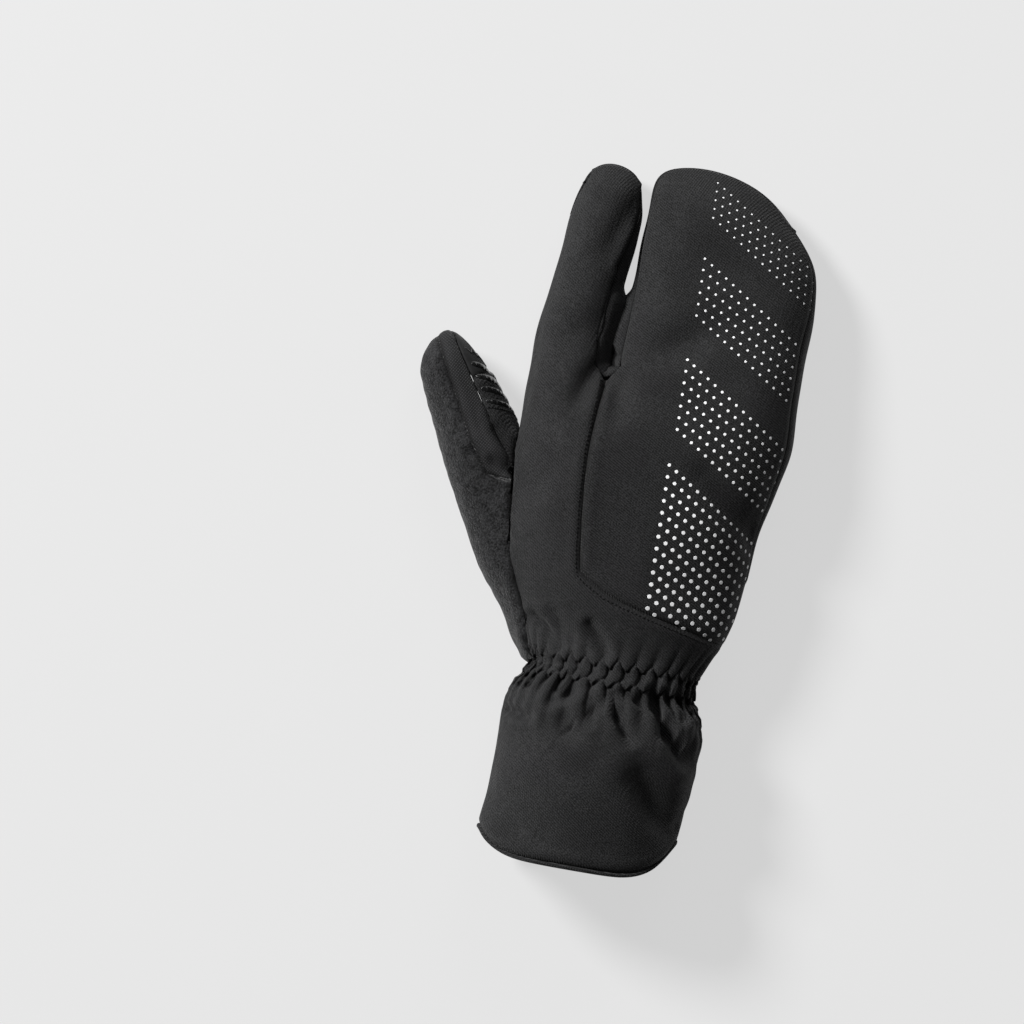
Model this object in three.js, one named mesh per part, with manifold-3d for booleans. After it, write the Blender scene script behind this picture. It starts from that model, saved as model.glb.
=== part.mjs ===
// Right-hand lobster claw mitt: a padded winter glove with a thumb, an index finger and one
// pocket for the other three fingers, an elastic gathered wrist and a long cuff with a strap.
// It lies on its palm. X runs from the thumb side to the little-finger side, Y from the cuff
// hem to the fingertips and Z up out of the back of the hand. Lengths are in millimetres.
import * as THREE from 'three';
import { mergeVertices } from 'three/addons/utils/BufferGeometryUtils.js';
import Module from 'manifold-3d';

const wasm = await Module();
wasm.setup();

// Driving sizes of the hand, seen from above
const crotchHeight = 125;    // wrist line to the bottom of the slit between the fingers
const indexLength = 83;      // slit bottom to the index fingertip
const fingersLength = 87;    // slit bottom to the tip of the three-finger pocket
const indexWidth = 32.4;     // slit to the outer side of the index finger
const fingersWidth = 79.7;   // slit to the outer side of the three-finger pocket
const slitX = -25;           // the slit, to the thumb side of the wrist's centre
const slitGap = 0.5;         // half of the slit's width at its bottom

// Driving sizes of the wrist and cuff
const wristWidth = 68;
const wristX = -1.3;         // the wrist's centre
const cuffLength = 77.5;      // wrist line to the hem
const cuffWidth = 83;
const cuffX = -3;            // the cuff's centre
const hemLiftThumb = 10;     // how far the hem rises at the thumb side
const hemLiftLittle = 17;    // and at the little-finger side

// Driving sizes in height
const backHeight = 49;       // top of the back of the hand above the surface that it lies on
const cuffHeight = 57;       // top of the cuff above that surface
const padThickness = 1.6;    // heel pad, whose face the glove lies on
const hookThickness = 1.0;   // woven patch that the strap grips
const strapThickness = 2.0;

// Cloth and seams
const wall = 2.6;            // padded cloth: shell, insulation and fleece
const gap = 0.3;             // clearance between two neighbouring pieces
const gussetTurn = 0.72;     // half of the gusset strip's turn round the side, in radians

// Thumb: a straight tube whose axis leaves the heel of the hand and leans to the thumb side
const thumbBase = { x: -38, y: 25 };
const thumbLean = 0.513;     // angle between the thumb's axis and Y, in radians
const thumbLength = 118;     // base to tip
const thumbInside = 22;      // length that runs on inside the heel
const thumbDepth = 31;       // height of the thumb above the surface that it lies on
const thumbBack = 19.5;      // seam middle to the outer face of the back of the thumb
const thumbFront = 15;       // seam middle to the outer face of the pad of the thumb
const thumbSeamShift = -3;   // seam middle from the axis
const thumbGussetTurn = 0.27; // half of the thumb gusset's turn round the edge, in radians
const tipPatchLength = 17;   // touch patches on the pads of the thumb and index finger

// Wrist gathers
const foldsPerHalf = 16;     // puckers on the back, and as many on the palm side
const foldDepth = 1.4;

// Strap, hook patch, slit and hem binding, along Y from the wrist line towards the hem
const strapWidth = 30;
const strapMiddle = 50;
const strapFreeX = -25;
const hookEndX = 21;
const hookStartX = -39;
const hookWidth = 31;
const slitTop = 12;          // where the cuff's slit begins
const slitWidth = 11;        // the slit at the hem
const bindingHeight = 3.6;
const bindingThickness = 4;

// Mesh fineness
const indexColumns = 6;
const fingersColumns = 10;
const handColumns = indexColumns + fingersColumns;
const foldSteps = 2;
const cornerRows = 4;        // rows of cloth below the seam's corner on the back
const handRows = 9;          // rows from there to the bottom of the slit
const fingerRows = 10;       // rows beside the slit
const heelRows = 3;          // rows of the palm below the height of the seam across the back
const ringColumns = foldsPerHalf * foldSteps;

// Small helpers
const lerp = (a, b, t) => a + (b - a) * t;
const clamp01 = (t) => Math.min(1, Math.max(0, t));
const smooth = (t) => clamp01(t) ** 2 * (3 - 2 * clamp01(t));
const between = (a, b, t) => [lerp(a[0], b[0], t), lerp(a[1], b[1], t)];

// A table column read at any height by a smooth curve through its rows
function column(table, along, name) {
  const last = table.length - 1;
  if (along <= table[0].along) return table[0][name];
  if (along >= table[last].along) return table[last][name];
  const row = table.findIndex((r) => r.along > along) - 1;
  const [a, b] = [table[row], table[row + 1]];
  const rise = (i) => (table[i + 1][name] - table[i][name]) / (table[i + 1].along - table[i].along);
  const slope = (i) => {
    if (i === 0 || i === last) return rise(Math.min(i, last - 1));
    const [p, n] = [rise(i - 1), rise(i)];
    return p * n <= 0 ? 0 : (2 * p * n) / (p + n);
  };
  const [step, t] = [b.along - a.along, (along - a.along) / (b.along - a.along)];
  const [t2, t3] = [t * t, t * t * t];
  return (2 * t3 - 3 * t2 + 1) * a[name] + (t3 - 2 * t2 + t) * step * slope(row)
    + (3 * t2 - 2 * t3) * b[name] + (t3 - t2) * step * slope(row + 1);
}

// Outline of the hand seen from above, in shares. Cuff rows: along is a share of the cuff's
// length and half a share of half its width. Palm rows: along is a share of the crotch's
// height, and spread runs from the wrist's edge (0) to the knuckle's (1). Finger rows: along
// is a share of the finger's length above the crotch, and across one of its width.
const cuffThumbSide = [
  { along: 1.1, half: 1.04 }, { along: 0.83, half: 1.03 }, { along: 0.72, half: 1.0 },
  { along: 0.5, half: 0.98 }, { along: 0.29, half: 0.975 }, { along: 0.15, half: 0.96 },
  { along: 0.075, half: 0.895 },
];
const cuffLittleSide = [
  { along: 0.06, half: 0.885 }, { along: 0.11, half: 0.94 }, { along: 0.2, half: 0.985 },
  { along: 0.36, half: 1.01 }, { along: 0.5, half: 0.985 }, { along: 0.7, half: 0.97 },
  { along: 0.84, half: 0.94 }, { along: 1.1, half: 0.93 },
];
const palmThumbSide = [
  { along: 0.01, spread: 0 }, { along: 0.06, spread: 0.1 }, { along: 0.17, spread: 0.34 },
  { along: 0.31, spread: 0.72 }, { along: 0.44, spread: 0.91 }, { along: 0.62, spread: 0.985 },
  { along: 0.8, spread: 0.99 },
];
const palmLittleSide = [
  { along: 0.92, spread: 1.01 }, { along: 0.8, spread: 1.0 }, { along: 0.73, spread: 0.92 },
  { along: 0.64, spread: 0.78 }, { along: 0.55, spread: 0.68 }, { along: 0.39, spread: 0.62 },
  { along: 0.28, spread: 0.51 }, { along: 0.165, spread: 0.38 }, { along: 0.1, spread: 0.19 },
  { along: 0.045, spread: 0.03 }, { along: 0.0, spread: 0.0 },
];
const indexOutside = [
  { along: 0.0, across: 1.0 }, { along: 0.12, across: 0.985 }, { along: 0.27, across: 0.94 },
  { along: 0.45, across: 0.89 }, { along: 0.65, across: 0.855 }, { along: 0.79, across: 0.815 },
];
const indexTip = [
  { along: 0.885, across: 0.755 }, { along: 0.955, across: 0.665 },
  { along: 0.993, across: 0.53 }, { along: 1.008, across: 0.38 }, { along: 0.998, across: 0.21 },
  { along: 0.974, across: 0.06 }, { along: 0.925, across: -0.035 },
];
const indexInside = [
  { along: 0.85, across: -0.07 }, { along: 0.73, across: -0.077 },
  { along: 0.6, across: -0.055 }, { along: 0.45, across: -0.03 },
  { along: 0.28, across: 0.0 }, { along: 0.12, across: 0.02 },
];
const fingersInside = [
  { along: 0.12, across: 0.008 }, { along: 0.26, across: 0.022 },
  { along: 0.4, across: 0.045 }, { along: 0.5, across: 0.059 },
  { along: 0.62, across: 0.063 }, { along: 0.76, across: 0.057 },
];
const fingersTip = [
  { along: 0.86, across: 0.056 }, { along: 0.925, across: 0.072 },
  { along: 0.97, across: 0.125 }, { along: 0.993, across: 0.215 },
  { along: 1.0, across: 0.34 }, { along: 0.982, across: 0.465 },
  { along: 0.947, across: 0.59 }, { along: 0.895, across: 0.705 },
  { along: 0.815, across: 0.815 }, { along: 0.725, across: 0.9 },
];
const fingersOutside = [
  { along: 0.625, across: 0.965 }, { along: 0.52, across: 0.99 },
  { along: 0.4, across: 1.003 }, { along: 0.25, across: 1.002 },
  { along: 0.1, across: 1.0 }, { along: 0.0, across: 1.0 },
];

// Heights at stations from the hem up. Below the wrist along is a share of the cuff's length,
// above it a share of the wrist-to-crotch height, and above 1 a share of the finger's length.
// top, seam and bottom are shares of the height of the back of the hand, and the four rim
// columns say how far the rounding reaches in from the outline, in shares of half the width.
const heights = [
  { along: -1.2, top: 0.97, seam: 0.5, rimIndex: 1.0, rimFingers: 1.0, rimPalm: 0.8 },
  { along: -0.5, top: 1.0, seam: 0.5, rimIndex: 1.0, rimFingers: 1.0, rimPalm: 0.8 },
  { along: -0.2, top: 0.97, seam: 0.5, rimIndex: 1.0, rimFingers: 1.0, rimPalm: 0.8 },
  { along: 0.0, top: 0.97, seam: 0.52, rimIndex: 1.0, rimFingers: 1.0, rimPalm: 0.8 },
  { along: 0.1, top: 0.95, seam: 0.5, rimIndex: 0.95, rimFingers: 0.95, rimPalm: 0.6 },
  { along: 0.3, top: 0.98, seam: 0.48, rimIndex: 0.8, rimFingers: 0.8, rimPalm: 0.42 },
  { along: 0.55, top: 1.0, seam: 0.47, rimIndex: 0.7, rimFingers: 0.7, rimPalm: 0.34 },
  { along: 0.78, top: 0.96, seam: 0.44, rimIndex: 0.52, rimFingers: 0.6, rimPalm: 0.3 },
  { along: 1.0, top: 0.84, seam: 0.39, rimIndex: 0.27, rimFingers: 0.44, rimPalm: 0.23 },
  { along: 1.3, top: 0.72, seam: 0.345, rimIndex: 0.27, rimFingers: 0.42, rimPalm: 0.22 },
  { along: 1.65, top: 0.62, seam: 0.3, rimIndex: 0.25, rimFingers: 0.38, rimPalm: 0.21 },
  { along: 2.0, top: 0.5, seam: 0.26, rimIndex: 0.22, rimFingers: 0.34, rimPalm: 0.2 },
];

// The undersides: the level of the shell above the surface, in shares of the pad's thickness
// at the palm and of the strap and hook patch at the cuff
const cuffLevel = hookThickness + strapThickness + 2 * gap;
const palmLevel = padThickness + gap;
const undersides = [
  { along: -0.32, cuff: 1, palm: 0, rise: 0 }, { along: -0.1, cuff: 0.6, palm: 0.6, rise: 0.04 },
  { along: 0.05, cuff: 0, palm: 1, rise: 0.06 }, { along: 0.16, cuff: 0, palm: 1, rise: 0 },
  { along: 0.7, cuff: 0, palm: 1, rise: 0 }, { along: 1.0, cuff: 0, palm: 0.5, rise: 0 },
  { along: 2.0, cuff: 0, palm: 0.5, rise: 0 },
];

const station = (y) => {
  if (y < 0) return y / cuffLength;
  if (y < crotchHeight) return y / crotchHeight;
  return 1 + (y - crotchHeight) / Math.max(indexLength, fingersLength);
};

// The outline as one smooth curve from the hem on the thumb side round to the hem opposite
const outlineRows = [];
const marks = {};
function addRows(name, rows, place) {
  marks[name] = outlineRows.length;
  for (const row of rows) outlineRows.push(new THREE.Vector2(...place(row)));
}
const thumbKnuckleX = slitX - indexWidth;
const littleKnuckleX = slitX + fingersWidth;
const wristThumbX = wristX - wristWidth / 2;
const wristLittleX = wristX + wristWidth / 2;
addRows('cuffThumb', cuffThumbSide, (r) => [cuffX - r.half * cuffWidth / 2, -r.along * cuffLength]);
addRows('palmThumb', palmThumbSide,
  (r) => [lerp(wristThumbX, thumbKnuckleX, r.spread), r.along * crotchHeight]);
const indexPlace = (r) => [slitX - r.across * indexWidth, crotchHeight + r.along * indexLength];
const fingersPlace = (r) => [slitX + r.across * fingersWidth, crotchHeight + r.along * fingersLength];
addRows('indexOutside', indexOutside, indexPlace);
addRows('indexTip', indexTip, indexPlace);
addRows('indexInside', indexInside, indexPlace);
addRows('slit', [{ x: -slitGap - 0.25, y: 2.5 }, { x: 0, y: 0 }, { x: slitGap + 0.25, y: 2.5 }],
  (r) => [slitX - 0.35 + r.x, crotchHeight + r.y]);
addRows('fingersInside', fingersInside, fingersPlace);
addRows('fingersTip', fingersTip, fingersPlace);
addRows('fingersOutside', fingersOutside, fingersPlace);
addRows('palmLittle', palmLittleSide,
  (r) => [lerp(wristLittleX, littleKnuckleX, r.spread), r.along * crotchHeight]);
addRows('cuffLittle', cuffLittleSide,
  (r) => [cuffX + r.half * cuffWidth / 2, -r.along * cuffLength]);
const outline = new THREE.SplineCurve(outlineRows);
const rowCount = outlineRows.length - 1;
const outlineAt = (row) => outline.getPoint(row / rowCount);
const inwardAt = (row) => {
  const step = 0.02;
  const [a, b] = [outlineAt(Math.max(row - step, 0)), outlineAt(Math.min(row + step, rowCount))];
  const way = b.sub(a).normalize();
  return [way.y, -way.x];
};
// The outline's row number at a height, searched between two rows
function rowAtHeight(y, from, to) {
  let [a, b] = [from, to];
  const rising = outlineAt(b).y > outlineAt(a).y;
  for (let i = 0; i < 40; i += 1) {
    const middle = (a + b) / 2;
    if ((outlineAt(middle).y < y) === rising) a = middle;
    else b = middle;
  }
  return (a + b) / 2;
}

// Distance from a point to the outline, and the way inwards from it
const stepsPerRow = 8;
const fence = [];
for (let i = 0; i <= rowCount * stepsPerRow; i += 1) fence.push(outlineAt(i / stepsPerRow));
function depthIn(x, y) {
  let best = { distance: Infinity };
  for (let i = 0; i < fence.length - 1; i += 1) {
    const [a, b] = [fence[i], fence[i + 1]];
    const [dx, dy] = [b.x - a.x, b.y - a.y];
    const t = clamp01(((x - a.x) * dx + (y - a.y) * dy) / (dx * dx + dy * dy));
    const [ox, oy] = [x - a.x - t * dx, y - a.y - t * dy];
    const distance = Math.hypot(ox, oy);
    if (distance < best.distance) {
      const size = Math.hypot(dx, dy);
      best = { distance, away: [ox / distance, oy / distance], across: [dy / size, -dx / size] };
    }
  }
  if (best.distance < 0.02) best.away = best.across;
  return best;
}

// Heights of the upper and lower cloth and their outward directions
const halfHandWidth = (littleKnuckleX - thumbKnuckleX) / 2;
const overFingers = (x) => smooth((x - slitX + 12) / 24);
function level(x, y) {
  const along = station(y);
  const tall = lerp(cuffHeight, backHeight, smooth((along + 0.35) / 0.35));
  const half = lerp(cuffWidth / 2, halfHandWidth, smooth((along + 0.15) / 0.5));
  const under = column(undersides, along, 'cuff') * cuffLevel
    + column(undersides, along, 'palm') * palmLevel + column(undersides, along, 'rise') * backHeight;
  const slim = along > 0.7 ? lerp(1, 0.93, (1 - overFingers(x)) * smooth((along - 0.7) / 0.4)) : 1;
  return {
    top: tall * column(heights, along, 'top') * slim,
    seam: tall * column(heights, along, 'seam') * slim,
    bottom: under,
    rimTop: half * lerp(column(heights, along, 'rimIndex'), column(heights, along, 'rimFingers'),
      overFingers(x)),
    rimPalm: half * column(heights, along, 'rimPalm'),
  };
}
// Rounding of a side: share of the full height at a share of the rim's reach
const roundTop = 2;
const roundPalm = 2.6;
const rimHeight = (q, power) => (1 - (1 - Math.min(q, 1)) ** power) ** (1 / power);

// Soft folds in the cloth of the back and cuff: middle, direction, length, width and depth.
// x is a share of half the hand's width and along a station.
const softFolds = [
  { x: 0.36, along: -0.22, turn: 2.0, length: 15, width: 3.4, depth: -2.0 },
  { x: 0.2, along: -0.24, turn: 1.85, length: 12, width: 3.0, depth: -1.5 },
  { x: 0.52, along: -0.25, turn: 2.15, length: 14, width: 3.2, depth: -1.9 },
  { x: -0.42, along: -0.3, turn: 0.8, length: 10, width: 5.0, depth: -1.6 },
  { x: -0.1, along: -0.26, turn: 1.3, length: 10, width: 3.6, depth: -1.3 },
  { x: 0.45, along: -0.6, turn: 2.2, length: 16, width: 6.0, depth: -1.8 },
  { x: -0.5, along: 0.17, turn: 2.05, length: 15, width: 3.4, depth: -1.5 },
  { x: -0.2, along: 0.14, turn: 1.9, length: 12, width: 3.6, depth: -1.4 },
  { x: -0.62, along: 1.05, turn: 0.5, length: 13, width: 5.0, depth: -1.2 },
  { x: -0.1, along: 0.93, turn: 2.6, length: 15, width: 5.0, depth: -1.2 },
  { x: 0.25, along: 0.78, turn: 2.5, length: 18, width: 7.0, depth: -0.9 },
];
function foldDip(x, y) {
  let dip = 0;
  for (const f of softFolds) {
    const fy = f.along * (f.along < 0 ? cuffLength : crotchHeight);
    const [dx, dy] = [x - f.x * halfHandWidth, y - fy];
    const along = (dx * Math.cos(f.turn) + dy * Math.sin(f.turn)) / f.length;
    const aside = (-dx * Math.sin(f.turn) + dy * Math.cos(f.turn)) / f.width;
    dip += f.depth * Math.exp(-along * along - aside * aside);
  }
  return dip;
}

// A point on the cloth above (side 1) or below (side -1), with its outward direction
function clothPoint(x, y, side) {
  const { distance, away } = depthIn(x, y);
  const here = level(x, y);
  const rim = side > 0 ? here.rimTop : here.rimPalm;
  const power = side > 0 ? roundTop : roundPalm;
  const reach = side > 0 ? here.top - here.seam : here.seam - here.bottom;
  const q = Math.min(distance / rim, 1);
  const share = rimHeight(q, power);
  const lift = Math.max(reach * share, gap / 2);
  const z = here.seam + side * lift + (side > 0 ? foldDip(x, y) * share : 0);
  const lean = (reach / rim) * (1 - q) ** (power - 1);
  const step = 2;
  const next = level(x, y + step);
  const far = side > 0 ? next.top - next.seam : next.seam - next.bottom;
  const climb = (next.seam - here.seam + side * (far - reach) * share) / step;
  const steep = (1 - (1 - q) ** power) ** (1 - 1 / power);
  const normal = new THREE.Vector3(-away[0] * lean, -away[1] * lean - side * climb * steep,
    side * steep).normalize();
  return { at: new THREE.Vector3(x, y, z), normal };
}
// A point on the side of the hand, from the top seam (turn > 0) round to the palm seam
function rimPoint(row, turn) {
  const edge = outlineAt(row);
  const inward = inwardAt(row);
  const here = level(edge.x, edge.y);
  const side = turn >= 0 ? 1 : -1;
  const power = side > 0 ? roundTop : roundPalm;
  const rim = side > 0 ? here.rimTop : here.rimPalm;
  const reach = side > 0 ? here.top - here.seam : here.seam - here.bottom;
  const q = 1 - Math.abs(Math.cos(turn)) ** (2 / power);
  const [x, y] = [edge.x + inward[0] * q * rim, edge.y + inward[1] * q * rim];
  const z = here.seam + side * reach * Math.abs(Math.sin(turn)) ** (2 / power);
  const lean = (1 - q) ** (power - 1) / rim;
  const steep = (1 - (1 - q) ** power) ** (1 - 1 / power) / reach;
  const normal = new THREE.Vector3(-inward[0] * lean, -inward[1] * lean, side * steep).normalize();
  return { at: new THREE.Vector3(x, y, z), normal };
}
const skinned = (p, lift = 0, thickness = wall) => ({
  out: p.at.clone().addScaledVector(p.normal, lift),
  in: p.at.clone().addScaledVector(p.normal, lift - thickness),
});

// Sheets of cloth: grids of vertices with an outer and an inner place, closed at their edges
class Sheet {
  constructor() {
    this.points = [];
    this.faces = [];
    this.known = new Map();
  }

  add(point) {
    const key = [...point.out].map((v) => Math.round(v * 1000)).join();
    if (!this.known.has(key)) {
      this.known.set(key, this.points.length);
      this.points.push(point);
    }
    return this.known.get(key);
  }

  face(corners) {
    const kept = corners.filter((c, i) => c !== corners[(i + corners.length - 1) % corners.length]);
    if (kept.length > 2) this.faces.push(kept);
  }

  // rows of points with one count, the rows running left to right as seen from outside
  grid(rows, skip = () => false) {
    const ids = rows.map((row) => row.map((p) => this.add(p)));
    for (let i = 0; i < ids.length - 1; i += 1) {
      for (let j = 0; j < ids[i].length - 1; j += 1) {
        if (skip(i, j)) continue;
        this.face([ids[i][j], ids[i][j + 1], ids[i + 1][j + 1], ids[i + 1][j]]);
      }
    }
  }

  // a strip between a row of few points and one of a whole number of times as many
  stitch(low, high) {
    const [a, b] = [low.map((p) => this.add(p)), high.map((p) => this.add(p))];
    const lowFiner = a.length > b.length;
    const [few, many] = lowFiner ? [b, a] : [a, b];
    const times = (many.length - 1) / (few.length - 1);
    const put = (corners) => this.face(lowFiner ? corners.reverse() : corners);
    for (let i = 0; i < few.length - 1; i += 1) {
      const start = i * times;
      const middle = start + Math.floor(times / 2);
      for (let k = start; k < start + times; k += 1) {
        put([k < middle ? few[i] : few[i + 1], many[k + 1], many[k]]);
      }
      put([few[i], few[i + 1], many[middle]]);
    }
  }

  geometry() {
    const count = this.points.length;
    const positions = [];
    for (const p of this.points) positions.push(...p.out);
    for (const p of this.points) positions.push(...p.in);
    const index = [];
    const edges = new Set();
    const cut = (corners) => {
      for (let i = 1; i < corners.length - 1; i += 1) {
        index.push(corners[0], corners[i], corners[i + 1]);
      }
    };
    for (const f of this.faces) {
      f.forEach((c, i) => edges.add(`${c},${f[(i + 1) % f.length]}`));
      cut(f);
      cut(f.map((c) => c + count).reverse());
    }
    for (const edge of edges) {
      const [a, b] = edge.split(',').map(Number);
      if (!edges.has(`${b},${a}`)) cut([b, a, a + count, b + count]);
    }
    const geometry = new THREE.BufferGeometry();
    geometry.setAttribute('position', new THREE.Float32BufferAttribute(positions, 3));
    geometry.setIndex(index);
    return geometry;
  }
}

// Solids for cutting
function toManifold(geometry) {
  const bare = geometry.clone();
  bare.deleteAttribute('normal');
  bare.deleteAttribute('uv');
  const merged = mergeVertices(bare, 1e-4);
  return new wasm.Manifold(new wasm.Mesh({
    numProp: 3,
    vertProperties: new Float32Array(merged.attributes.position.array),
    triVerts: new Uint32Array(merged.index.array),
  }));
}
// The largest piece of a cut solid, as a geometry
function toGeometry(solid) {
  const pieces = solid.decompose().sort((a, b) => b.volume() - a.volume());
  const mesh = pieces[0].getMesh();
  const positions = [];
  for (let i = 0; i < mesh.numVert; i += 1) {
    positions.push(...mesh.vertProperties.slice(i * mesh.numProp, i * mesh.numProp + 3));
  }
  const geometry = new THREE.BufferGeometry();
  geometry.setAttribute('position', new THREE.Float32BufferAttribute(positions, 3));
  geometry.setIndex([...mesh.triVerts]);
  return geometry;
}

// Rings of the wrist and cuff: angle 0 is the little-finger side, and pi the thumb side
const cuffEnd = marks.palmThumb;
const littleStart = marks.palmLittle;
const edgeThumb = (y) => outlineAt(y < 0.01 * crotchHeight
  ? rowAtHeight(y, marks.cuffThumb, cuffEnd)
  : rowAtHeight(y, cuffEnd, marks.indexTip)).x;
const edgeLittle = (y) => outlineAt(y < 0
  ? rowAtHeight(y, marks.cuffLittle - 1, rowCount)
  : rowAtHeight(y, marks.fingersTip + 5, marks.cuffLittle - 1)).x;
function ringPoint(y, angle, lift = 0) {
  const [left, right] = [edgeThumb(y), edgeLittle(y)];
  const x = (left + right) / 2 + ((right - left) / 2) * Math.cos(angle);
  const p = clothPoint(x, y, Math.sin(angle) >= 0 ? 1 : -1);
  p.at.addScaledVector(p.normal, lift);
  return p;
}
const hemHeight = (angle) => -cuffLength
  + (Math.cos(angle) < 0 ? hemLiftThumb : hemLiftLittle) * Math.abs(Math.cos(angle)) ** 6;

// Gathers: how deep the puckers are and how far the elastic draws the cloth in
const gathers = [
  { at: 6, deep: 0.35, draw: 0.0 }, { at: 2.6, deep: 0.9, draw: 0.7 }, { at: -0.8, deep: 1.0, draw: 0.3 },
  { at: -4.4, deep: 0.9, draw: 0.7 }, { at: -8.5, deep: 1.0, draw: 0.1 }, { at: -15, deep: 0.7, draw: 0.0 },
  { at: -22, deep: 0.4, draw: 0.0 },
];
const pucker = [-1, 1];
function gatherRow(g, columns, angleAt, y = g.at) {
  const row = [];
  for (let j = 0; j <= columns; j += 1) {
    const p = ringPoint(y, angleAt(j));
    const lift = foldDepth * (g.deep * pucker[j % foldSteps] - g.draw);
    const inner = Math.min(0, -foldDepth * g.draw) - 0.25 * foldDepth;
    row.push({
      out: p.at.clone().addScaledVector(p.normal, lift),
      in: p.at.clone().addScaledVector(p.normal, inner - wall),
    });
  }
  return row;
}

// Seam lines: the back panel of the fingers starts at the crotch, runs down beside the hand
// and turns across to the little-finger side above the wrist. Shares of the crotch's height
// and of half the hand's width.
const seamDown = [
  { along: 0.33, x: -0.4 }, { along: 0.42, x: -0.43 }, { along: 0.55, x: -0.465 },
  { along: 0.72, x: -0.49 }, { along: 0.86, x: -0.475 }, { along: 0.955, x: -0.46 },
];
const seamAcross = [
  { along: 0.33, x: -0.4 }, { along: 0.268, x: -0.19 }, { along: 0.224, x: 0.17 },
  { along: 0.188, x: 0.53 }, { along: 0.166, x: 0.74 },
];
const seamX = (y) => column(seamDown, y / crotchHeight, 'x') * halfHandWidth;
const seamCorner = [seamX(seamDown[0].along * crotchHeight), seamDown[0].along * crotchHeight];

// Stops along the outline that the panels and the gusset between them share
const stopsBetween = (from, to, count) => Array.from({ length: count + 1 },
  (_, i) => lerp(from, to, i / count));
const slitRow = marks.slit + 1;
const acrossEnd = rowAtHeight(seamAcross[seamAcross.length - 1].along * crotchHeight,
  marks.palmLittle, marks.cuffLittle - 1);
const indexTipStops = stopsBetween(marks.indexTip, marks.indexInside, indexColumns);
const indexSlitStops = stopsBetween(slitRow, marks.indexInside, fingerRows);
const fingersSlitStops = stopsBetween(slitRow, marks.fingersTip, fingerRows);
const fingersTipStops = stopsBetween(marks.fingersTip, marks.fingersOutside - 1, fingersColumns);
const littleStops = stopsBetween(outlineAt(acrossEnd).y, outlineAt(marks.fingersOutside - 1).y,
  handRows + fingerRows).map((y, i, all) => (i === all.length - 1
  ? marks.fingersOutside - 1 : rowAtHeight(y, marks.fingersOutside - 1, marks.cuffLittle - 1)));

// Where the gusset's seams lie: full width round the fingers, narrowing to a blunt end at the
// outer shoulder of the index finger and down the little-finger side of the hand
const gussetStart = marks.indexTip;
const gussetLast = 3;
const gussetEnd = littleStops[gussetLast];
const gussetFull = marks.fingersOutside;
// The upper seam's turn, in shares of the gusset's: it shows in the slit and down the
// little-finger side, and hides behind the tips
const upperSeam = [
  { along: marks.indexTip, turn: 0.15 }, { along: marks.indexInside - 1, turn: 0.18 },
  { along: marks.indexInside + 1, turn: 0.5 }, { along: marks.indexInside + 3, turn: 1.0 },
  { along: marks.slit, turn: 1.05 }, { along: marks.slit + 2, turn: 0.85 },
  { along: marks.fingersInside + 1, turn: 0.7 }, { along: marks.fingersInside + 3, turn: 0.3 },
  { along: marks.fingersTip, turn: 0.16 }, { along: marks.fingersOutside - 1, turn: 0.18 },
  { along: marks.fingersOutside + 1, turn: 0.4 }, { along: marks.fingersOutside + 3, turn: 0.72 },
  { along: marks.palmLittle, turn: 0.6 }, { along: gussetEnd, turn: 0.12 },
];
function gussetAngle(row, side) {
  if (row < gussetStart || row > gussetEnd + 1e-6) return 0;
  if (side > 0) return gussetTurn * column(upperSeam, row, 'turn');
  const open = smooth((row - gussetStart) / 3);
  const close = 1 - smooth((row - gussetFull) / (gussetEnd - gussetFull));
  return gussetTurn * lerp(0.12, 1, open * close);
}
const gapTurn = (row) => {
  const edge = outlineAt(row);
  return gap / 2 / (level(edge.x, edge.y).top / 2);
};
// The seam beside the outline, for the upper or lower cloth: its place from above, and the cloth
function seamPlace(row, side) {
  const cloth = rimPoint(row, side * (gussetAngle(row, side) + gapTurn(row)));
  return [cloth.at.x, cloth.at.y, cloth];
}

// Rows of a finger panel run between its two edges; the last ones bend to follow the tip
const eased = (t, left, right) => {
  const whole = (1 - Math.cos(Math.PI * t)) / 2;
  const atLeft = 1 - Math.cos((Math.PI * t) / 2);
  const atRight = Math.sin((Math.PI * t) / 2);
  return lerp(lerp(t, atRight, right), lerp(atLeft, whole, right), left);
};
function panelRows({ left, right, tip, foot, spacing, columns, side, bendFrom = 0.55 }) {
  const rows = [];
  const count = left.length - 1;
  for (let i = 0; i <= count; i += 1) {
    const bend = tip ? clamp01((i / count - bendFrom) / (1 - bendFrom)) ** 2 : 0;
    const sink = foot ? clamp01(1 - i / count / 0.35) ** 2 : 0;
    const row = [];
    for (let j = 0; j <= columns; j += 1) {
      const s = spacing(i / count, j / columns);
      let [x, y] = between(left[i], right[i], s);
      let known = [left[i], ...Array(columns - 1).fill([]), right[i]][j][2];
      if (tip && i === count) known = tip(j / columns)[2];
      if (tip && i > 0) {
        const t = tip(j / columns, s);
        const chord = between(left[count], right[count], s);
        x += bend * (t[0] - chord[0]);
        y += bend * (t[1] - chord[1]);
      }
      if (foot) {
        const f = foot(s);
        const chord = between(left[0], right[0], s);
        x += sink * (f[0] - chord[0]);
        y += sink * (f[1] - chord[1]);
      }
      row.push(skinned(known ?? clothPoint(x, y, side)));
    }
    rows.push(side > 0 ? row : row.reverse());
  }
  return rows;
}

// Rows of the left and right edges of each panel above the wrist
const footY = 10;
const ringX = (y, j) => lerp(edgeThumb(y), edgeLittle(y), (1 - Math.cos((Math.PI * j) / handColumns)) / 2);

const tipLine = (from, to, side) => (t) => seamPlace(lerp(from, to, t), side);
const indexShoulderY = outlineAt(marks.indexTip).y;

// Edges beside the slit, from its bottom up
const slitEdge = (stops, side) => stops.slice(1).map((row) => seamPlace(row, side));
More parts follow.
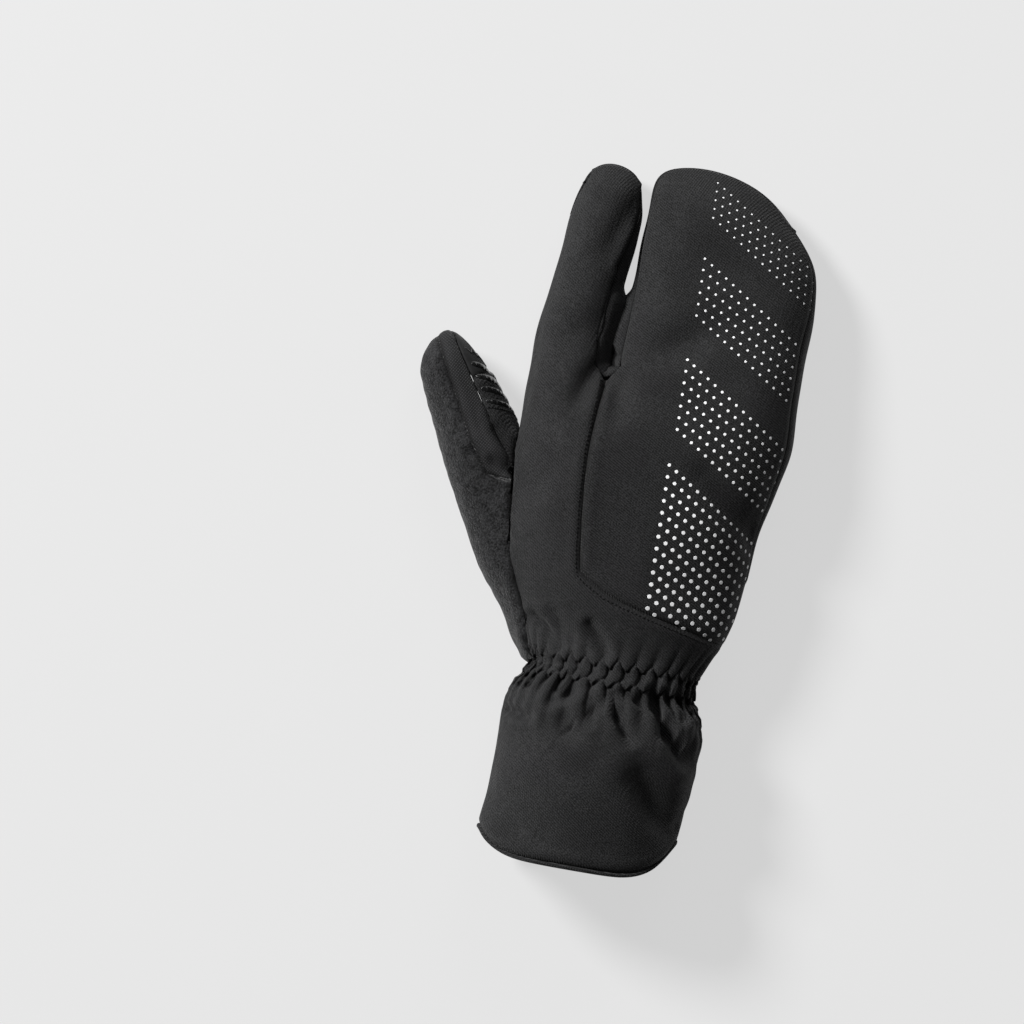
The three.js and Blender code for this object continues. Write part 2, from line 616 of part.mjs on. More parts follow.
// The back's inner line below the slit: up to the seam's corner, and along the seam
function backLine(offset) {
  const [footX, join] = [ringX(footY, indexColumns), seamPlace(slitRow, 1)];
  const line = [];
  for (let i = 0; i < cornerRows; i += 1) {
    const t = i / cornerRows;
    line.push([lerp(footX, seamCorner[0], smooth(t)), lerp(footY, seamCorner[1], t)]);
  }
  for (let i = 0; i <= handRows; i += 1) {
    const y = lerp(seamCorner[1], join[1], i / handRows);
    line.push([lerp(seamX(y), join[0], smooth((y - join[1] + 12) / 12)) + offset, y]);
  }
  return line;
}
// Heights of the thumb side's edge, level with the other edge's at the foot and the tip
function thumbSideEdge(right, low) {
  const high = outlineAt(marks.indexInside).y;
  return right.map((p) => {
    const y = low + ((p[1] - low) * (indexShoulderY - low)) / (high - low);
    return [edgeThumb(Math.min(y, indexShoulderY)), Math.min(y, indexShoulderY)];
  });
}

// Back of the hand and cuff in one cloth: the index finger, the heel and the whole cuff
function backShell() {
  const sheet = new Sheet();
  const right = [...backLine(-gap / 2), ...slitEdge(indexSlitStops, 1)];
  const left = thumbSideEdge(right, footY);
  const footSpacing = (j) => (ringX(footY, Math.round(j * indexColumns)) - left[0][0])
    / (right[0][0] - left[0][0]);
  const tip = tipLine(marks.indexTip, marks.indexInside, 1);
  sheet.grid(panelRows({
    left, right, side: 1, columns: indexColumns, tip: (t) => tip(t),
    spacing: (v, t) => lerp(footSpacing(t), eased(t, 0.8, smooth((v - 0.45) / 0.15) * 0.8),
      smooth(v / 0.4)),
  }));
  // the heel's cloth between its foot and the seam across
  const block = [];
  for (let i = 0; i <= cornerRows; i += 1) {
    const t = i / cornerRows;
    const start = right[i];
    const row = [];
    for (let j = indexColumns; j <= handColumns; j += 1) {
      const s = (j - indexColumns) / fingersColumns;
      const low = [ringX(footY, j), footY];
      const spread = eased(s, 0, 0.8);
      const across = acrossPlace(spread);
      const high = [across[0], across[1] - gap / 2];
      let [x, y] = between(low, high, t);
      if (j === indexColumns) [x, y] = start;
      if (j === handColumns) x = edgeLittle(y);
      row.push(skinned(clothPoint(x, y, 1)));
    }
    block.push(row);
  }
  sheet.grid(block);
  addCuffHalf(sheet, 1);
  return sheet.geometry();
}

// The seam across the back, from its corner to the little-finger side
function acrossPlace(t) {
  const place = seamAcross.map((r) => new THREE.Vector2(r.x * halfHandWidth, r.along * crotchHeight));
  place[place.length - 1] = outlineAt(acrossEnd);
  const p = new THREE.SplineCurve(place).getPoint(t);
  return [p.x, p.y];
}

// Columns of the cuff beside its slit, which spreads towards the hem
const slitColumn = 2;
const slitAngle = Math.PI * (2 - (slitColumn + 0.5) / handColumns);
function spreadAngle(plain, side, y) {
  if (side > 0 || y > -slitTop) return plain;
  const open = (slitWidth / (cuffWidth / 2) - Math.PI / handColumns) / 2
    * smooth((-y - slitTop) / (cuffLength - slitTop));
  const near = Math.exp(-(((plain - slitAngle) / 0.5) ** 2)) * smooth((2 * Math.PI - plain) / 0.2);
  return plain + Math.sign(plain - slitAngle) * open * near;
}
// The ring's angle of a column, from the thumb side across the back or from the little side
const ringEase = (2 * gap) / backHeight;
const ringAngle = (j, columns, side) => (side > 0 ? 0 : Math.PI)
  + lerp(Math.PI - ringEase / 2, ringEase / 2, j / columns);
function hemPlace(j, side) {
  const plain = ringAngle(j, handColumns, side);
  const y = hemHeight(plain);
  return { y, angle: spreadAngle(plain, side, y) };
}

// Half of the gathered wrist and the cuff, on the back (side 1) or palm (side -1)
function addCuffHalf(sheet, side) {
  const angleAt = (j, columns) => ringAngle(j, columns, side);
  const coarseAngle = (j, y) => spreadAngle(angleAt(j, handColumns), side, y);
  const fine = gathers.map((g) => gatherRow(g, ringColumns, (j) => angleAt(j, ringColumns)));
  if (side > 0) {
    const foot = [];
    for (let j = 0; j <= handColumns; j += 1) {
      foot.push(skinned(clothPoint(ringX(footY, j), footY, 1)));
    }
    sheet.stitch(fine[0], foot);
  } else {
    const top = gatherRow({ deep: 0, draw: 0 }, ringColumns, (j) => angleAt(j, ringColumns), palmSeamY - gap);
    sheet.grid([fine[1], top]);
  }
  const used = side > 0 ? fine : fine.slice(1);
  sheet.grid([...used].reverse());
  const shares = [0.4, 0.52, 0.65, 0.78, 0.9, 1];
  const coarse = shares.map((share) => {
    const row = [];
    for (let j = 0; j <= handColumns; j += 1) {
      const plain = angleAt(j, handColumns);
      const full = hemHeight(plain) * share;
      const y = lerp(-share * cuffLength, full, smooth((share - 0.35) / 0.65));
      row.push(skinned(ringPoint(y, coarseAngle(j, y))));
    }
    return row;
  });
  sheet.stitch(coarse[0], used[used.length - 1]);
  sheet.grid([...coarse].reverse(), (i, j) => side < 0 && j === slitColumn);
}
const palmSeamY = 3;

function cuffPalm() {
  const sheet = new Sheet();
  addCuffHalf(sheet, -1);
  return sheet.geometry();
}

// Back panel of the three-finger pocket
function fingerBack() {
  const sheet = new Sheet();
  const left = [...backLine(gap / 2).slice(cornerRows), ...slitEdge(fingersSlitStops, 1)];
  const right = littleStops.map((row) => seamPlace(row, 1));
  const tip = tipLine(marks.fingersTip, marks.fingersOutside - 1, 1);
  sheet.grid(panelRows({
    left, right, side: 1, columns: fingersColumns, tip: (t) => tip(t),
    foot: (s) => {
      const p = acrossPlace(s);
      return [p[0], p[1] + gap / 2];
    },
    spacing: (v, t) => eased(t, smooth((v - 0.35) / 0.15) * 0.8, 0.8),
  }));
  return sheet.geometry();
}

// Palm: the heel and both finger fronts in one cloth, with a touch patch on the index tip
function palmParts() {
  const palm = new Sheet();
  const patch = new Sheet();
  const footXs = (j) => ringX(palmSeamY, j);
  const join = seamPlace(slitRow, -1);
  const low = outlineAt(acrossEnd).y;
  const line = [];
  for (let i = 0; i < heelRows; i += 1) line.push(lerp(palmSeamY, low, i / heelRows));
  for (let i = 0; i <= handRows; i += 1) line.push(lerp(low, join[1], i / handRows));
  const middle = line.map((y) => [lerp(footXs(indexColumns), join[0], smooth(y / join[1])), y]);
  const right = [...middle, ...slitEdge(indexSlitStops, -1)];
  const left = thumbSideEdge(right, palmSeamY);
  const tip = tipLine(marks.indexTip, marks.indexInside, -1);
  const rows = panelRows({
    left, right, side: -1, columns: indexColumns, tip: (t) => tip(t),
    spacing: (v, t) => lerp((footXs(Math.round(t * indexColumns)) - left[0][0])
      / (right[0][0] - left[0][0]), eased(t, 0.8, smooth((v - 0.5) / 0.15) * 0.8), smooth(v / 0.5)),
  });
  const patchRow = left.findIndex((p) => p[1] > crotchHeight + indexLength - tipPatchLength - 8);
  palm.grid(rows.slice(0, patchRow + 1));
  const onward = (a, b) => a.clone().lerp(b, (2.2 * gap) / a.distanceTo(b));
  const start = rows[patchRow].map((p, j) => {
    const up = rows[patchRow + 1][j];
    return { out: onward(p.out, up.out), in: onward(p.in, up.in) };
  });
  patch.grid([start, ...rows.slice(patchRow + 1)]);
  const outer = [];
  for (let i = 0; i < heelRows; i += 1) {
    const row = rowAtHeight(line[i], marks.palmLittle, marks.cuffLittle - 1);
    outer.push([outlineAt(row).x, line[i]]);
  }
  const pocketLeft = [...middle, ...slitEdge(fingersSlitStops, -1)];
  const pocketRight = [...outer, ...littleStops.map((row) => seamPlace(row, -1))];
  const pocketTip = tipLine(marks.fingersTip, marks.fingersOutside - 1, -1);
  palm.grid(panelRows({
    left: pocketLeft, right: pocketRight, side: -1, columns: fingersColumns,
    tip: (t) => pocketTip(t), bendFrom: 0.62,
    spacing: (v, t) => lerp((footXs(indexColumns + Math.round(t * fingersColumns)) - pocketLeft[0][0])
      / (pocketRight[0][0] - pocketLeft[0][0]), eased(t, smooth((v - 0.55) / 0.12) * 0.8, 0.8),
    smooth(v / 0.5)),
  }));
  return { palm: palm.geometry(), patch: patch.geometry() };
}

// Gusset: one strip round the fingertips and through the slit
function fingerGusset() {
  const sheet = new Sheet();
  const across = 4;
  const rows = [];
  const stops = [
    ...indexTipStops, ...indexSlitStops.slice(0, -1).reverse(), ...fingersSlitStops.slice(1),
    ...fingersTipStops.slice(1), ...littleStops.slice(gussetLast, -1).reverse(),
  ];
  for (const at of stops) {
    const [low, high] = [-1, 1].map((side) => side * (gussetAngle(at, side) - gapTurn(at)));
    const line = [];
    for (let k = 0; k <= across; k += 1) {
      line.push(skinned(rimPoint(at, lerp(low, high, k / across))));
    }
    rows.push(line);
  }
  sheet.grid(rows);
  return sheet.geometry();
}

// The thumb, in a frame of its own: along its axis, up, and towards the back of the thumb
const thumbAxis = [-Math.sin(thumbLean), Math.cos(thumbLean)];
const thumbOut = [-Math.cos(thumbLean), -Math.sin(thumbLean)];
const restLevel = 0.6;       // lowest cloth of the fingers and thumb above the surface
// Sections along the thumb as shares of its length: half its height, and how far the back and
// pad of the thumb stand from the seam's middle
const thumbSections = [
  { along: -0.2, half: 0.86, back: 0.72, front: 0.8 },
  { along: -0.12, half: 0.93, back: 0.92, front: 1.0 },
  { along: -0.04, half: 0.98, back: 0.9, front: 1.08 },
  { along: 0.03, half: 1.0, back: 0.88, front: 1.1 },
  { along: 0.12, half: 1.0, back: 1.0, front: 1.1 },
  { along: 0.35, half: 1.0, back: 1.05, front: 1.1 },
  { along: 0.6, half: 0.99, back: 0.98, front: 1.03 },
  { along: 0.76, half: 0.96, back: 0.93, front: 0.86 },
  { along: 0.88, half: 0.88, back: 0.86, front: 0.58 },
  { along: 1.0, half: 0.8, back: 0.72, front: 0.36 },
];
const thumbTipRound = 0.13;  // the share of the length that the rounded tip takes
const thumbPower = 2.25;     // how square the thumb's section is
const capLength = thumbTipRound * thumbLength;
const capStart = thumbLength - capLength;
// A point of the thumb: up is a share of its half height, over a share of the rounded tip's
// length, and side 1 is the back of the thumb and -1 its pad
function thumbPoint(along, up, over, side, grow = 0) {
  const share = (along + over * capLength) / thumbLength;
  const half = (column(thumbSections, share, 'half') * thumbDepth) / 2 + grow;
  const reach = grow + (side > 0 ? column(thumbSections, share, 'back') * thumbBack
    : column(thumbSections, share, 'front') * thumbFront);
  const round = (1 - Math.min(Math.hypot(up, over), 1) ** thumbPower) ** (1 / thumbPower);
  const aside = thumbSeamShift + side * reach * round;
  const far = along + over * (capLength + grow);
  const z = Math.max(thumbDepth / 2 + half * up, restLevel - grow);
  return new THREE.Vector3(
    thumbBase.x + thumbAxis[0] * far + thumbOut[0] * aside,
    thumbBase.y + thumbAxis[1] * far + thumbOut[1] * aside,
    z,
  );
}
// The same from a turn round the section: 0 on the upper edge, positive over the back and
// negative over the pad
const bent = (v) => Math.sign(v) * Math.abs(v) ** (2 / thumbPower);
const thumbSkin = (along, up, over, side) => ({
  out: thumbPoint(along, up, over, side),
  in: thumbPoint(along, up, over, side, -wall),
});
const thumbTurned = (along, turn) => thumbSkin(along, bent(Math.cos(turn)), 0, turn < 0 ? -1 : 1);
// The fleece reaches over the upper edge near the heel, where the gusset runs under the hand
const fleeceReach = 0.44;    // the share of the thumb's length where it starts to
const fleeceTurn = 0.95;     // how far it then reaches over, in radians
const overReach = (along) => fleeceTurn
  * (1 - smooth((along / thumbLength - fleeceReach + 0.07) / 0.14));
const thumbStops = (count) => Array.from({ length: count + 1 },
  (_, i) => lerp(-thumbInside, capStart, i / count));
const thumbColumns = 9;
const thumbRows = 11;
const capRows = 3;
// The back or the pad of the thumb, from one stop to another or over the rounded tip
function thumbPanel(side, from, to) {
  const sheet = new Sheet();
  const edge = thumbGussetTurn + gap / thumbDepth;
  const tidy = (row) => (side > 0 ? row.reverse() : row);
  const turns = stopsBetween(edge, Math.PI - edge, thumbColumns);
  const stops = thumbStops(thumbRows).filter((a) => a > from && a < to);
  if (from > -thumbInside) stops.unshift(from);
  if (to < capStart) stops.push(to);
  const rows = stops.map((along) => tidy(stopsBetween(side * edge - overReach(along),
    side * (Math.PI - edge), thumbColumns).map((turn) => thumbTurned(along, turn))));
  for (let i = 1; to > capStart && i <= capRows; i += 1) {
    rows.push(tidy(turns.map((t, k) => {
      const across = (k / thumbColumns) * Math.PI;
      const rim = bent(Math.cos(edge));
      const [up, over] = between([bent(Math.cos(t)), 0],
        [rim * Math.cos(across), rim * Math.sin(across)], i / capRows);
      return thumbSkin(capStart, up, over, side);
    })));
  }
  sheet.grid(rows);
  return sheet.geometry();
}
// Strip between back and pad: up one edge of the thumb, over its tip and down the other
function thumbGusset() {
  const sheet = new Sheet();
  const edge = thumbGussetTurn - gap / thumbDepth;
  const turns = stopsBetween(-edge, edge, 4);
  const overTip = (across) => turns.map((t) => {
    const rim = bent(Math.cos(t));
    return thumbSkin(capStart, rim * Math.cos(across), rim * Math.sin(across), Math.sign(t) || 1);
  });
  const stops = thumbStops(thumbRows);
  const rows = stops.map((along) => turns.map((t) => thumbTurned(along, t - overReach(along))));
  for (let k = 1; k < thumbColumns; k += 1) rows.push(overTip((k / thumbColumns) * Math.PI));
  for (const along of [...stops].reverse()) {
    rows.push(turns.map((t) => thumbTurned(along, Math.sign(t || 1) * (Math.PI - Math.abs(t)))));
  }
  sheet.grid(rows.map((row) => row.reverse()));
  return sheet.geometry();
}

// A closed tube round the thumb's hollow, and one round the heel, to cut their meeting with
function closedTube(rings) {
  const positions = [];
  const index = [];
  const n = rings[0].length;
  for (const ring of rings) for (const p of ring) positions.push(p.x, p.y, p.z);
  for (let i = 0; i < rings.length - 1; i += 1) {
    for (let j = 0; j < n; j += 1) {
      const [a, b] = [i * n + j, i * n + ((j + 1) % n)];
      index.push(a, b, b + n, a, b + n, a + n);
    }
  }
  for (const end of [0, rings.length - 1]) {
    const centre = rings[end].reduce((s, p) => s.add(p), new THREE.Vector3()).divideScalar(n);
    const id = positions.length / 3;
    positions.push(centre.x, centre.y, centre.z);
    for (let j = 0; j < n; j += 1) {
      const [a, b] = [end * n + j, end * n + ((j + 1) % n)];
      if (end === 0) index.push(id, b, a);
      else index.push(id, a, b);
    }
  }
  const geometry = new THREE.BufferGeometry();
  geometry.setAttribute('position', new THREE.Float32BufferAttribute(positions, 3));
  geometry.setIndex(index);
  const solid = toManifold(geometry);
  if (solid.volume() > 0) return solid;
  const turned = geometry.clone();
  turned.setIndex([...geometry.index.array].reverse());
  return toManifold(turned);
}
function thumbHollow() {
  const rings = [];
  for (let along = -thumbInside + 2; along <= capStart; along += 6) {
    const ring = [];
    for (let k = 0; k < 28; k += 1) {
      const turn = (k / 14) * Math.PI;
      ring.push(thumbPoint(along, bent(Math.cos(turn)), 0, Math.sin(turn) >= 0 ? 1 : -1, -wall));
    }
    rings.push(ring);
  }
  return closedTube(rings);
}
function heelCore() {
  const rings = [];
  const half = 24;
  for (let y = -12; y <= 112; y += 5) {
    const ring = [];
    for (let k = 0; k < 2 * half; k += 1) {
      ring.push(ringPoint(y, (k / half) * Math.PI, 2.2 * gap).at);
    }
    rings.push(ring);
  }
  return closedTube(rings);
}

// Pieces sewn on the underside: their outline from above, seated on the cloth
function padPlaces() {
  const corners = [[-0.3, 0.195], [0.2, 0.225], [0.6, 0.24], [0.7, 0.42], [0.5, 0.61], [0.0, 0.625],
    [-0.24, 0.47], [-0.42, 0.29]];
  const places = corners.map(([x, along]) => new THREE.Vector2(x * halfHandWidth, along * crotchHeight));
  return new THREE.SplineCurve([...places, places[0]]);
}
function palmPad() {
  const curve = padPlaces();
  const sheet = new Sheet();
  const around = 28;
  const centre = [0.16 * halfHandWidth, 0.4 * crotchHeight];
  const rows = [0, 0.5, 1].map((t) => {
    const row = [];
    for (let k = 0; k <= around; k += 1) {
      const p = curve.getPoint((k % around) / around);
      const [x, y] = between(centre, [p.x, p.y], t);
      row.push({
        out: new THREE.Vector3(x, y, 0),
        in: new THREE.Vector3(x, y, padThickness),
      });
    }
    return row;
  });
  sheet.grid(rows);
  return sheet.geometry();
}
function bandOnCuff({ from, to, middle, width, lift, thickness, columns, roundEnd }) {
  const sheet = new Sheet();
  const rows = [];
  for (let k = 0; k <= columns; k += 1) {
    const angle = lerp(from, to, k / columns);
    const end = roundEnd ? Math.sqrt(1 - (1 - clamp01((k + 0.45) / (columns * 0.16))) ** 2) : 1;
    const taper = roundEnd ? lerp(0.74, 1, smooth(k / columns)) : 1;
    const row = [];
    for (let i = 0; i <= 4; i += 1) {
      const y = -middle(k / columns) + (i / 4 - 0.5) * width * end * taper;
      const rise = typeof lift === 'number' ? lift : lift(k / columns);
      row.push(skinned(ringPoint(y, angle), rise + thickness, thickness));
    }
    rows.push(row);
  }
  sheet.grid(rows);
  return sheet.geometry();
}
const angleAtX = (x) => 2 * Math.PI - Math.acos((x - cuffX) / (cuffWidth / 2));
const hookPatch = () => bandOnCuff({
  from: angleAtX(hookStartX), to: angleAtX(hookEndX), middle: () => strapMiddle - 2.5,
  width: hookWidth, lift: gap, thickness: hookThickness, columns: 10,
});
const closureStrap = () => bandOnCuff({
  from: angleAtX(strapFreeX), to: 2 * Math.PI - 0.32, middle: (t) => lerp(strapMiddle + 3, strapMiddle - 2, t),
  width: strapWidth, thickness: strapThickness, columns: 14, roundEnd: true,
  lift: (t) => gap + (gap + hookThickness) * (1 - smooth((t - 0.66) / 0.2)),
});

// Folded cloth behind the cuff's slit
function slitGusset() {
  const sheet = new Sheet();
  const middle = slitAngle;
  const half = 0.3;
  const rows = [];
  for (let i = 0; i <= 6; i += 1) {
    const y = lerp(-cuffLength + 11, -slitTop - 3, i / 6);
    const row = [];
    for (let k = 0; k <= 4; k += 1) {
      const angle = middle + lerp(-half, half, k / 4);
      const tuck = 1.6 * Math.cos(((k / 4) - 0.5) * Math.PI) ** 2;
      row.push(skinned(ringPoint(y, angle), -wall - 0.9 - tuck, 1.2));
    }
    rows.push(row.reverse());
  }
  sheet.grid(rows);
  return sheet.geometry();
}

// Binding along the hem, from one side of the slit round to the other, on the hem's columns
function hemPlaces() {
  const places = [];
  for (let j = slitColumn; j >= 0; j -= 1) places.push(hemPlace(j, -1));
  for (let j = handColumns; j >= 0; j -= 1) places.push(hemPlace(j, 1));
  for (let j = handColumns; j > slitColumn; j -= 1) places.push(hemPlace(j, -1));
  return places;
}
function hemBinding() {
  const section = 6;
  const rings = [];
  for (const { y, angle } of hemPlaces()) {
    const p = ringPoint(y, angle);
    const ahead = ringPoint(hemHeight(angle + 0.02), angle + 0.02);
    const way = ahead.at.clone().sub(p.at).normalize();
    const down = new THREE.Vector3().crossVectors(p.normal, way).normalize();
    if (down.y > 0) down.negate();
    const centre = p.at.clone().addScaledVector(p.normal, -wall / 2)
      .addScaledVector(down, gap + bindingHeight / 2);
    const ring = [];
    for (let m = 0; m < section; m += 1) {
      const turn = ((m + 0.5) / section) * 2 * Math.PI;
      ring.push(centre.clone()
        .addScaledVector(p.normal, (bindingThickness / 2) * Math.sign(Math.cos(turn)) * Math.abs(Math.cos(turn)) ** 0.7)
        .addScaledVector(down, (bindingHeight / 2) * Math.sign(Math.sin(turn)) * Math.abs(Math.sin(turn)) ** 0.7));
    }
    rings.push(ring);
  }
  return toGeometry(closedTube(rings));
}

// Finishes
const finishes = {
  softshell: { color: 0x2b2b2c, roughness: 0.8 },
  fleece: { color: 0x303031, roughness: 0.95 },
  knit: { color: 0x272728, roughness: 0.85 },
  touchCloth: { color: 0x202021, roughness: 0.9 },
  hookWeave: { color: 0x141415, roughness: 0.55 },
  binding: { color: 0x161617, roughness: 0.75 },
};
const glove = new THREE.Group();
function put(name, geometry, finish) {
  geometry.computeVertexNormals();
  const material = new THREE.MeshStandardMaterial({ metalness: 0, ...finishes[finish] });
  const mesh = new THREE.Mesh(geometry, material);
  mesh.name = name;
  glove.add(mesh);
}

// The hole for the thumb goes through the heel's side, and the thumb ends at the heel
const hollow = thumbHollow();
const core = heelCore();
const opened = (geometry) => toGeometry(toManifold(geometry).subtract(hollow));
const seated = (geometry) => toGeometry(toManifold(geometry).subtract(core));

const { palm, patch } = palmParts();
put('back_shell', opened(backShell()), 'softshell');
put('finger_back', fingerBack(), 'softshell');
put('palm_shell', opened(palm), 'softshell');
put('index_tip_patch', patch, 'touchCloth');
put('finger_gusset', fingerGusset(), 'softshell');
put('cuff_palm', cuffPalm(), 'softshell');
put('slit_gusset', slitGusset(), 'softshell');
put('hem_binding', hemBinding(), 'binding');
put('hook_patch', hookPatch(), 'hookWeave');
put('closure_strap', closureStrap(), 'softshell');
put('palm_pad', palmPad(), 'softshell');
const patchFrom = thumbLength - tipPatchLength - 5;
put('thumb_back', seated(thumbPanel(1, -Infinity, Infinity)), 'fleece');
put('thumb_palm', seated(thumbPanel(-1, -Infinity, patchFrom - gap)), 'softshell');
put('thumb_tip_patch', thumbPanel(-1, patchFrom, Infinity), 'touchCloth');
put('thumb_gusset', seated(thumbGusset()), 'knit');

// The origin is under the middle of the whole glove, on the surface that it lies on
const box = new THREE.Box3().setFromObject(glove);
glove.position.set(-(box.min.x + box.max.x) / 2, -(box.min.y + box.max.y) / 2, -box.min.z);

export default glove;
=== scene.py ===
# %% [markdown]
# A padded winter mitt for the right hand, lying on its palm. It has a thumb, an index finger
# and one pocket for the other three fingers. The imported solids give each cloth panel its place
# and form. This lesson dresses them: smooth padded cloth, seams, gathers, folds, stitches,
# printed dots, raised grip bars, and a material for each kind of cloth.

# %% Load the frame and the tools
import math

import bmesh
import bpy
import numpy as np
from mathutils import Matrix, Vector, kdtree
from mathutils.bvhtree import BVHTree


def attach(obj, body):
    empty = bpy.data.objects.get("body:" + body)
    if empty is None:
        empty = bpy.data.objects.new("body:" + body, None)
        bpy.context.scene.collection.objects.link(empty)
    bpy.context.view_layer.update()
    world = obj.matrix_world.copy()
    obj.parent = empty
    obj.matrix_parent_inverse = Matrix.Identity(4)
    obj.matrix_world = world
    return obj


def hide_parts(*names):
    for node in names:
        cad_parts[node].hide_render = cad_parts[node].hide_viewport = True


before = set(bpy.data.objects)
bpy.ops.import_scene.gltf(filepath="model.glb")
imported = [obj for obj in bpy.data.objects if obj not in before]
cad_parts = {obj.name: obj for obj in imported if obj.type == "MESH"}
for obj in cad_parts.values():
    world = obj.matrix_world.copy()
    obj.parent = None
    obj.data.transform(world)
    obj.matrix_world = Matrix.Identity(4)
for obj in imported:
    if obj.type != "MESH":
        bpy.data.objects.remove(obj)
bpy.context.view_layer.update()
MM = 0.001
print("solids loaded:", len(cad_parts))

# %% [markdown]
# Places on the mitt are easiest to name from its wrist: x runs across towards the little
# finger, y up towards the fingertips, both in millimetres. The frame's own origin is under the
# middle of the whole mitt, so one small helper moves a place from the one to the other.

# %% Places named from the wrist
WRIST = Vector((23.3335, -65.2693, 0.0)) * MM
CROTCH = 125.0


def place(x, y, z=0.0):
    return WRIST + Vector((x, y, z)) * MM


def wrist_mm(co):
    """Coordinates of many points, in millimetres from the wrist."""
    return (co - np.array(WRIST)) / MM


print("wrist in the frame, mm:", [round(v / MM, 1) for v in WRIST])

# %% [markdown]
# Each panel is a closed solid: an outer face, an inner face and a narrow wall along its seams.
# The seams must stay crisp while the cloth between them turns smooth, so the faces are first
# told apart. A face whose normal points away from the nearest point inside the hand is outer
# cloth, one that points towards it is lining, and the rest is the wall of a seam.

# %% Points inside the hand and the thumb
OUTER, INNER, SEAM = 0, 1, 2
THUMB_BASE = (-38.0, 25.0)
THUMB_LEAN = 0.513
LEAN = (math.sin(THUMB_LEAN), math.cos(THUMB_LEAN))
THUMB_MIDDLE = 15.5


def hand_points():
    points = []
    for y in range(-84, 12, 6):
        points += [place(x, y, 27) for x in range(-22, 20, 6)]
    for y in range(12, 112, 6):
        points += [place(x, y, 23) for x in range(-34, 32, 6)]
    for y in range(112, 192, 5):
        points.append(place(-40, y, 16 - 0.04 * (y - 112)))
    for y in range(112, 198, 6):
        points += [place(x, y, 18 - 0.07 * (y - 112)) for x in range(-4, 36, 6)]
    points += [place(-25, 112, 18), place(-32, 117, 18), place(-17, 117, 18), place(-24.5, 119, 18)]
    for y in range(130, 190, 5):
        points += [place(-33, y, 15), place(-12, y, 17)]
    return points


def thumb_place(along, aside, z):
    s, c = LEAN
    x = THUMB_BASE[0] - s * along - c * aside
    y = THUMB_BASE[1] + c * along - s * aside
    return place(x, y, z)


def thumb_points():
    return [thumb_place(a, w, THUMB_MIDDLE) for a in range(-22, 106, 5) for w in (-8, -1, 6)]


def tree_of(points):
    tree = kdtree.KDTree(len(points))
    for i, p in enumerate(points):
        tree.insert(p, i)
    tree.balance()
    return tree


INSIDE = {"hand": tree_of(hand_points()), "thumb": tree_of(thumb_points())}
print("points inside:", len(hand_points()), "hand and", len(thumb_points()), "thumb")

# %% [markdown]
# A panel starts as a copy of its solid. Doubled corners are merged and pairs of triangles
# joined back into the squares of cloth that they came from. The edges between cloth and seam
# wall get a full crease, so that Catmull-Clark subdivision keeps them as clean curves, and a
# sharp corner of a panel keeps its point.

# %% Copy a solid as cloth
SIDE_LIMIT = 0.36
CORNER = math.radians(38)


def copied(node):
    bm = bmesh.new()
    bm.from_mesh(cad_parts[node].data)
    bmesh.ops.remove_doubles(bm, verts=bm.verts, dist=2e-5)
    bmesh.ops.join_triangles(bm, faces=bm.faces, angle_face_threshold=math.radians(50),
                             angle_shape_threshold=math.radians(60))
    bm.normal_update()
    return bm


def tell_faces(bm, inside):
    for f in bm.faces:
        middle = f.calc_center_median()
        away = (middle - inside.find(middle)[0]).normalized()
        facing = f.normal.dot(away)
        f.material_index = OUTER if facing > SIDE_LIMIT else INNER if facing < -SIDE_LIMIT else SEAM


def crease_seams(bm):
    layer = bm.edges.layers.float.new("crease_edge")
    for e in bm.edges:
        kinds = {f.material_index for f in e.link_faces}
        if SEAM in kinds and len(kinds) > 1:
            e[layer] = 1.0
    for v in bm.verts:
        rim = [e for e in v.link_edges if e[layer] == 1.0]
        if len(rim) != 2:
            continue
        ways = [(e.other_vert(v).co - v.co).normalized() for e in rim]
        if ways[0].angle(-ways[1], 0) < CORNER:
            continue
        for e in v.link_edges:
            if all(f.material_index == SEAM for f in e.link_faces):
                e[layer] = 1.0


def mesh_of(bm, name):
    mesh = bpy.data.meshes.new(name)
    bm.to_mesh(mesh)
    bm.free()
    return mesh


def new_object(name, data):
    obj = bpy.data.objects.new(name, data)
    bpy.context.scene.collection.objects.link(obj)
    return obj


def apply_modifiers(obj):
    graph = bpy.context.evaluated_depsgraph_get()
    done = bpy.data.meshes.new_from_object(obj.evaluated_get(graph))
    obj.modifiers.clear()
    obj.data = done
    return obj


def subdivided(bm, name, levels):
    obj = new_object(name, mesh_of(bm, name))
    smooth = obj.modifiers.new("smooth", "SUBSURF")
    smooth.levels = levels
    smooth.render_levels = levels
    smooth.boundary_smooth = "PRESERVE_CORNERS"
    return apply_modifiers(obj)


# %% [markdown]
# Padded cloth shows its making. It is drawn down at every seam and swells a little beside it,
# the elastic at the wrist puckers it into ridges, and long soft folds run where the cloth is
# slack. All of it is written as one sum of heights over the smooth panel, in millimetres, and
# the vertices are moved along the outer normal by that sum.

# %% Read and write a mesh as arrays
SEAM_GROWTH = 0.19
THUMB_GROWTH = 0.5
UNDERLAP = 1.0
# Width of the painted shade beside each seam, in millimetres.
SHADE_WIDTH = 0.95
WALL_FADE = 2.6
LOWEST = 0.02


def read(items, key, width=1, kind=float):
    """A number or a vector of each item of a mesh, as an array."""
    out = np.empty(len(items) * width, kind)
    items.foreach_get(key, out)
    return out.reshape(-1, width) if width > 1 else out


